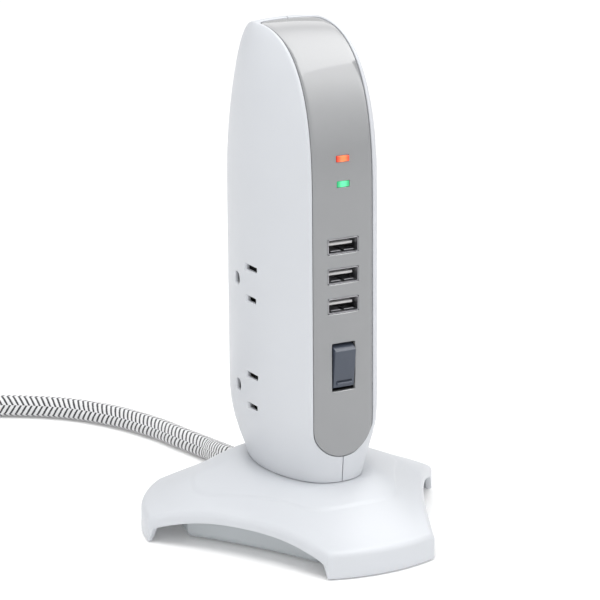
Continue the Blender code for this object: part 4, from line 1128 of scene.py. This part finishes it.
def strip_form(name, layers, across=12):
    """A solid in the strip's outline through layers of (growth, lift), wrapped over the front."""
    edge = strip_outline()

    def build(work):
        grids = []
        for number, (grow, lift) in enumerate(layers):
            grid = []
            for index, (wide, along, out_x, out_s) in enumerate(edge):
                reach = max(0.0, wide + grow * out_x)
                full = number in (0, len(layers) - 1) or index == len(edge) - 1
                shares = [2 * j / across - 1 for j in range(across + 1)] if full else [-1, 1]
                grid.append([work.verts.new(on_front(reach * share, along + grow * out_s, lift))
                             for share in shares])
            grids.append(grid)
        for grid in (grids[0], grids[-1]):
            for low, high in zip(grid, grid[1:]):
                for j in range(across):
                    work.faces.new((low[j], low[j + 1], high[j + 1], high[j]))
        for outer, inner in zip(grids, grids[1:]):
            for side in (0, -1):
                for i in range(len(edge) - 1):
                    work.faces.new((outer[i][side], outer[i + 1][side], inner[i + 1][side],
                                    inner[i][side]))
            for j in range(across):
                work.faces.new((outer[-1][j], outer[-1][j + 1], inner[-1][j + 1], inner[-1][j]))
    return mesh_of(name, build)


def ground_outline(grow):
    """Round, with a flat side away from the blades."""
    radius = GROUND_RADIUS + grow
    flat = GROUND_RADIUS * 0.62 + grow
    points = []
    for step in range(28):
        angle = 2 * math.pi * step / 28
        points.append((min(flat, radius * math.cos(angle)), radius * math.sin(angle)))
    return points


def outlet_cuts(side):
    """Cutters with flared mouths for the blade slots and ground holes of one side."""
    cuts = []
    levels = ((0.006, SLOT_FLARE), (0.0003, SLOT_FLARE), (-0.0006, 0.0), (-0.0015, 0.0),
              (-0.0016, SLOT_CAVITY), (-0.006, SLOT_CAVITY))
    stations = [(side * (SIDE_REACH + out), grow) for out, grow in levels]
    for level, z in enumerate(OUTLET_Z):
        for lift, length in SLOT_LENGTHS.items():
            middle = (BASE_Y + SLOT_Y, z + lift * SLOT_PITCH / 2)
            cuts.append(prism(f"slot_{side}_{level}_{lift}",
                              rounded_box_outline(length / 2, SLOT_WIDTH / 2, 0.0002, 3), stations,
                              lambda u, v, depth, at=middle: (depth, at[0] + u, at[1] + v)))
        ground = (BASE_Y + SLOT_Y + GROUND_BEHIND, z)
        cuts.append(prism(f"ground_{side}_{level}", ground_outline, stations,
                          lambda u, v, depth, at=ground: (depth, at[0] + u, at[1] + v)))
    return cuts


def all_in_one(name, meshes):
    """Several separate closed meshes as one."""
    work = bmesh.new()
    for mesh in meshes:
        work.from_mesh(mesh)
    made = bpy.data.meshes.new(name)
    work.to_mesh(made)
    work.free()
    return made


def shell_mesh():
    """The whole shell, hollow, with its recess and outlets, before it is parted."""
    outer = tower_form("tower_outer", 0.0, TOWER_BOTTOM - 0.002, (26, 46, 8, 34), EDGE_SOFTNESS)
    inner = tower_form("tower_inner", HOUSING_WALL, TOWER_BOTTOM - 0.006, (8, 14, 3, 10))
    recess = strip_form("strip_recess", [(0.00075, 0.003), (0.00075, 0.00005), (0.0003, -0.0003),
                                         (0.0003, -STRIP_SINK - STRIP_THICK - 0.0002)])
    opening = strip_form("strip_opening", [(-0.0016, 0.003), (-0.0016, -0.007)])
    cuts = [inner, recess, opening, all_in_one("outlets", outlet_cuts(-1) + outlet_cuts(1)),
            bar("flat_foot", (0.12, 0.12, 0.02), (0, BASE_Y, TOWER_BOTTOM - 0.01))]
    return carved("tower_shell", outer, cuts)


shell = shell_mesh()
for side, label in ((-1, "left"), (1, "right")):
    cuts = [bar("parting", (0.06, 0.12, 0.24), (-side * (0.03 - SEAM), BASE_Y, 0.12))]
    if side > 0:
        cuts.append(all_in_one("screw_wells", [
            rod("well", 0.0033, (0.0085, y, z), (0.040, y, z)) for x, y, z in housing_screw_spots]))
    place_piece(f"{label}_shell", carved(f"{label}_shell", shell.copy(), cuts), white_abs,
                [f"{label}_housing"], angle=32.0)


# ---- Front strip
# A strip of grey plastic with a high gloss, thermoformed over the front and the top and let into
# the shell, with chamfered windows for the lamps, the ports and the switch.

STRIP_FACE = BASE_Y + TOWER_FRONT - CROWN + STRIP_SINK
LED_Z = {"red": 0.1581, "green": 0.1482}
LED_HALF = (0.0027, 0.00115)
PORT_Z = (0.1237, 0.1118, 0.0999)
PORT_HALF = (0.00625, 0.00255)
ROCKER_Z = 0.0750
ROCKER_HALF_OPENING = (0.0051, 0.0097)
STRIP_EDGE = 0.00025
LENS_GAP = 0.00015
PORT_GAP = 0.0006
WINDOW_FLARE = 0.0003


def front_spot(z):
    """How a point across, up and behind the strip's face lies at a height."""
    return lambda u, v, depth: (u, STRIP_FACE + depth, z + v)


def window_cut(name, half, z, radius, flare):
    """A cutter for a window with a chamfered mouth."""
    return prism(name, rounded_box_outline(half[0], half[1], radius, 4),
                 [(-0.004, flare), (0.0, flare), (flare, 0.0), (0.006, 0.0)], front_spot(z))


def strip_mesh():
    """The strip with a softened edge and all its windows."""
    edge = STRIP_EDGE
    plain = strip_form("plain_strip", [
        (-edge, -STRIP_SINK), (-edge * 0.3, -STRIP_SINK - edge * 0.3), (0.0, -STRIP_SINK - edge),
        (0.0, -STRIP_SINK - STRIP_THICK)])
    cuts = [window_cut(f"window_{colour}", [half + LENS_GAP for half in LED_HALF], z, 0.0003, 0.00012)
            for colour, z in LED_Z.items()]
    cuts += [window_cut(f"port_{number}", [half + PORT_GAP for half in PORT_HALF], z, 0.0004,
                        WINDOW_FLARE) for number, z in enumerate(PORT_Z)]
    cuts.append(window_cut("switch_window", ROCKER_HALF_OPENING, ROCKER_Z, 0.0004, WINDOW_FLARE))
    return carved("gloss_strip", plain, [all_in_one("windows", cuts)])


def gloss():
    """Glossy grey plastic with a fine haze of handling marks."""
    made = Finish("gloss_grey")
    haze = made.noise(55.0, 4.0)
    marks = made.noise(1400.0, 2.0)
    colour = made.blend(haze, grey(0.245, (0.0, 0.006, 0.014)), grey(0.265, (0.0, 0.006, 0.014)))
    return made.wear(base_color=colour, roughness=0.10 + haze * 0.04 + marks * 0.02,
                     normal=made.bump(made.noise(160.0, 1.0), 0.015, 0.0002), coat_weight=1.0,
                     coat_roughness=0.03)


place_piece("gloss_strip", strip_mesh(), gloss(), ["front_panel"], angle=28.0)


# ---- Indicator lenses
# Clear coloured plastic, each a small block with soft edges let into its window, lit by the lamp
# behind it: red for the mains, green for the surge protection.

def lens_finish(name, deep, bright):
    """Coloured lens that glows more in the middle, where the lamp is."""
    made = Finish(name)
    across = made.axis(made.place(), 0)
    glow = 1.0 - across.does("ABSOLUTE", across).between(0.0004, LED_HALF[0] - 0.0001)
    colour = made.blend(glow, deep + (1.0,), bright + (1.0,))
    return made.wear(base_color=colour, emission_color=colour, emission_strength=0.35,
                     roughness=0.12 + made.noise(900.0) * 0.05, coat_weight=0.6)


lens_colours = {"red": ((0.72, 0.045, 0.010), (0.95, 0.22, 0.06)),
                "green": ((0.010, 0.40, 0.14), (0.10, 0.78, 0.36))}
for colour, (deep, bright) in lens_colours.items():
    mesh = prism(f"{colour}_lens_block", rounded_box_outline(*LED_HALF, 0.0003, 4),
                 [(0.0, -0.0002), (0.00006, -0.00006), (0.0002, 0.0), (0.0105, 0.0)],
                 front_spot(LED_Z[colour]))
    place_piece(f"{colour}_lens_block", mesh, lens_finish(f"{colour}_lens", deep, bright),
                [f"{colour}_lens"])


# ---- USB ports
# Folded steel shells with a rolled mouth, each round a white nylon tongue, with two spring leaves
# pressed up out of the floor to grip the plug.

PORT_WALL = 0.0003
PORT_DEPTH = 0.0150
# Steel, its colour darkened beyond its own as painted shade inside the ports.
port_steel = metal("port_steel", (0.40, 0.40, 0.42), 0.24)
tongue_nylon = moulded("tongue_nylon", (0.62, 0.62, 0.61), 0.40)


def shell_stations():
    """Round the outside of a port to its rolled mouth, and back down inside it."""
    mouth = 0.0002
    return [(PORT_DEPTH, PORT_WALL), (mouth + 0.0003, PORT_WALL), (mouth + 0.0001, PORT_WALL + 0.0002),
            (mouth, PORT_WALL + 0.0001), (mouth + 0.00004, PORT_WALL * 0.5), (mouth + 0.0003, 0.0),
            (PORT_DEPTH - 0.0004, 0.0)]


for number, z in enumerate(PORT_Z, 1):
    outline = rounded_box_outline(*PORT_HALF, 0.0003, 3)
    shell = prism(f"shell_{number}", outline, shell_stations(), front_spot(z))
    leaves = [bar(f"leaf_{number}", (0.0042, 0.0064, 0.00025),
                  (side * 0.0029, STRIP_FACE + 0.0044, z - PORT_HALF[1] + 0.00062)) for side in (-1, 1)]
    place_piece(f"port_shell_{number}", all_in_one(f"port_shell_{number}", [shell] + leaves),
                port_steel, [f"usb_shell_{number}"])
    tongue = prism(f"port_tongue_{number}", rounded_box_outline(0.0053, 0.00055, 0.0002, 3),
                   [(0.0026, -0.0002), (0.0028, 0.0), (0.0138, 0.0)],
                   lambda u, v, depth, at=z: (u, STRIP_FACE + depth, at + 0.0005 + v))
    place_piece(f"port_tongue_{number}", tongue, tongue_nylon, [f"usb_tongue_{number}"])


# ---- Rocker switch
# A slate plastic button with softened edges and a raised bar under a groove near its lower end, on
# an axle in a black nylon cup behind the strip. The upper end stands out at rest.

PIVOT = Vector((0, STRIP_FACE + 0.0047, ROCKER_Z))
ROCKER_REACH = 0.0055
ROCKER_RADIUS = 0.0093
ROCKER_HALF = 0.0046
ROCKER_TILT = math.radians(7.5)
ROCKER_BACK = 0.0012
ROCKER_EDGE = 0.00055
ROCKER_SHOULDERS = (0.0016, 0.0006)
MARK_Z = -0.0060
MARK_RISE = 0.0008


def rocker_outline():
    """Side view about the pivot: a face, shouldered ends that follow the swing, and a flat back."""
    first = math.asin(ROCKER_REACH / ROCKER_RADIUS)
    ends = []
    for step in range(10):
        angle = first * (1 - step / 9)
        ends.append((-ROCKER_RADIUS * math.sin(angle), ROCKER_RADIUS * math.cos(angle)))
    ends.append((ROCKER_BACK, ROCKER_RADIUS))
    top, low = (softened([(-ROCKER_REACH, 0.0, 0.0)] + [(y, side * z, 0.0) for y, z in ends], 1, reach,
                         steps)
                for side, reach, steps in ((1, ROCKER_SHOULDERS[0], 8), (-1, ROCKER_SHOULDERS[1], 4)))
    return [(y, z) for y, z, _ in top[1:]] + [(y, z) for y, z, _ in reversed(low[1:])]


def rocker_mesh():
    """The button with its mark and axle, tilted as it rests."""
    outline = rocker_outline()

    def build(work):
        rows = loft(work, [[(x, y, z) for y, z in outline] for x in (-ROCKER_HALF, ROCKER_HALF)])
        work.faces.new(rows[0])
        work.faces.new(rows[1])
    body = cutter(mesh_of("rocker_block", build))
    soft = body.modifiers.new("soft_edges", "BEVEL")
    soft.width = ROCKER_EDGE
    soft.segments = 3
    soft.limit_method = "ANGLE"
    soft.angle_limit = math.radians(60)
    graph = bpy.context.evaluated_depsgraph_get()
    block = bpy.data.meshes.new_from_object(body.evaluated_get(graph))
    bpy.data.objects.remove(body)
    groove = prism("groove", rounded_box_outline(0.0034, 0.00035, 0.0002, 4),
                   [(-0.001, 0.0), (0.0005, 0.0)],
                   lambda u, v, depth: (u, -ROCKER_REACH + depth, MARK_Z + 0.0010 + v))
    block = carved("grooved_block", block, [groove])
    mark = prism("raised_bar", rounded_box_outline(0.0033, 0.00062, 0.0003, 4),
                 [(0.0, -0.0003), (0.0001, -0.0001), (0.0003, 0.0), (0.0014, 0.0)],
                 lambda u, v, depth: (u, -ROCKER_REACH - MARK_RISE + depth, MARK_Z + v))
    axle = rod("axle", 0.0011, (-0.0056, 0, 0), (0.0056, 0, 0), 24)
    whole = carved("slate_rocker", block, [mark, axle], "UNION")
    whole.transform(Matrix.Translation(PIVOT) @ Matrix.Rotation(ROCKER_TILT, 4, "X"))
    return whole


slate = moulded("slate_plastic", (0.058, 0.070, 0.096), 0.30, 0.005)
place_piece("slate_rocker", rocker_mesh(), slate, ["rocker_button"], body="rocker",
            angle=30.0)
black_nylon = moulded("black_nylon", (0.018, 0.018, 0.020), 0.50, 0.004)
dress(black_nylon, "black_nylon", "rocker_frame", "left_outlet_carrier", "right_outlet_carrier")


# ---- Outlet contacts and boards
# Black nylon carriers hold the brass contact strips behind the slots. Behind the strip and between
# the carriers stand two boards, with surge parts on one and the ports and lamps on the other.

def board_finish():
    """Green solder resist over glass cloth."""
    made = Finish("board_resist")
    weave = made.add("TexWave", {"wave_type": "BANDS", "bands_direction": "DIAGONAL"},
                     {"Vector": made.place(), "Scale": 900.0, "Distortion": 0.6})
    colour = made.blend(weave, (0.010, 0.10, 0.045, 1.0), (0.018, 0.16, 0.070, 1.0))
    return made.wear(base_color=colour, roughness=0.36 + made.noise(300.0) * 0.12,
                     normal=made.bump(weave, 0.15, 0.0001), coat_weight=0.3)


dress(moulded("cream_nylon", (0.62, 0.60, 0.53), 0.50), "cream_nylon", "red_lamp", "green_lamp",
      "thermal_fuse")
dress(board_finish(), "circuit_board", "control_board", "surge_board")
dress(moulded("varistor_coat", (0.035, 0.13, 0.42), 0.40, 0.01, 0.3), "varistor_coat", "varistor_1",
      "varistor_2", "varistor_3")
dress(moulded("yellow_film", (0.72, 0.55, 0.09), 0.34, 0.02), "yellow_film", "filter_capacitor",
      "charger_transformer")


# ---- Studio
# A pale floor and soft white light: one wide overhead softbox, two graded cards that only the
# glossy surfaces mirror, and a bright surround that is whitest in front and above.

FLOOR_HALF = 4.0


def build_floor(work):
    bmesh.ops.create_grid(work, x_segments=1, y_segments=1, size=FLOOR_HALF)


floor = bpy.data.objects.new("floor", mesh_of("floor", build_floor))
bpy.context.scene.collection.objects.link(floor)
floor_finish = Finish("studio_floor")
floor_finish.wear(base_color=grey(0.93), roughness=0.9, emission_color=grey(1.0),
                  emission_strength=0.10)
floor.data.materials.append(floor_finish.made)


# The softbox hangs above the left, and the glossy strip doesn't mirror it.
box_light = bpy.data.lights.new("overhead", "AREA")
box_light.shape = "RECTANGLE"
box_light.size = 0.9
box_light.size_y = 0.7
box_light.energy = 9.0
overhead = bpy.data.objects.new("overhead", box_light)
overhead.location = (-0.25, -0.1, 1.40)
aim = overhead.location - Vector((0.0, 0.0, 0.10))
overhead.rotation_euler = aim.to_track_quat("Z", "Y").to_euler()
overhead.visible_glossy = False
bpy.context.scene.collection.objects.link(overhead)


def glow_card(name, corners, axis, near, far, bright_near, bright_far):
    """A card that only glossy surfaces see, graded in brightness along one axis."""
    def build(work):
        work.faces.new([work.verts.new(spot) for spot in corners])
    made = bpy.data.objects.new(name, mesh_of(name, build))
    bpy.context.scene.collection.objects.link(made)
    made.visible_diffuse = made.visible_camera = made.visible_shadow = False
    finish = Finish(name)
    brightest = max(bright_near, bright_far)
    level = finish.blend(finish.axis(finish.place(), axis).between(near, far),
                         grey(bright_near / brightest), grey(bright_far / brightest))
    finish.wear(base_color=grey(0.0), specular_ior_level=0.0, emission_color=level,
                emission_strength=brightest)
    made.data.materials.append(finish.made)


glow_card("front_card", ((0.1, -1.2, 0.2), (3.0, -1.2, 0.2), (3.0, -1.2, 3.4), (0.1, -1.2, 3.4)),
          2, -0.10, 1.72, 0.95, 3.9)
glow_card("top_card", ((0.1, -0.88, 1.25), (1.5, -0.10, 1.25), (2.2, 2.6, 1.25), (0.1, 2.6, 1.25)),
          1, -0.35, 1.30, 5.2, 1.4)

world = bpy.data.worlds.new("surround")
world.use_nodes = True
sky = world.node_tree
glow = sky.nodes["Background"]
glow.inputs["Color"].default_value = (1.0, 1.0, 1.0, 1.0)
direction = sky.nodes.new("ShaderNodeTexCoord")
toward = sky.nodes.new("ShaderNodeVectorMath")
toward.operation = "DOT_PRODUCT"
toward.inputs[1].default_value = (0.30, -0.60, 0.42)
level = sky.nodes.new("ShaderNodeMapRange")
level.inputs["From Min"].default_value = -0.7
level.inputs["From Max"].default_value = 0.5
level.inputs["To Min"].default_value = 0.52
level.inputs["To Max"].default_value = 1.0
sky.links.new(direction.outputs["Generated"], toward.inputs[0])
sky.links.new(toward.outputs["Value"], level.inputs["Value"])
sky.links.new(level.outputs[0], glow.inputs["Strength"])
bpy.context.scene.world = world
bpy.context.scene.view_settings.view_transform = "Standard"
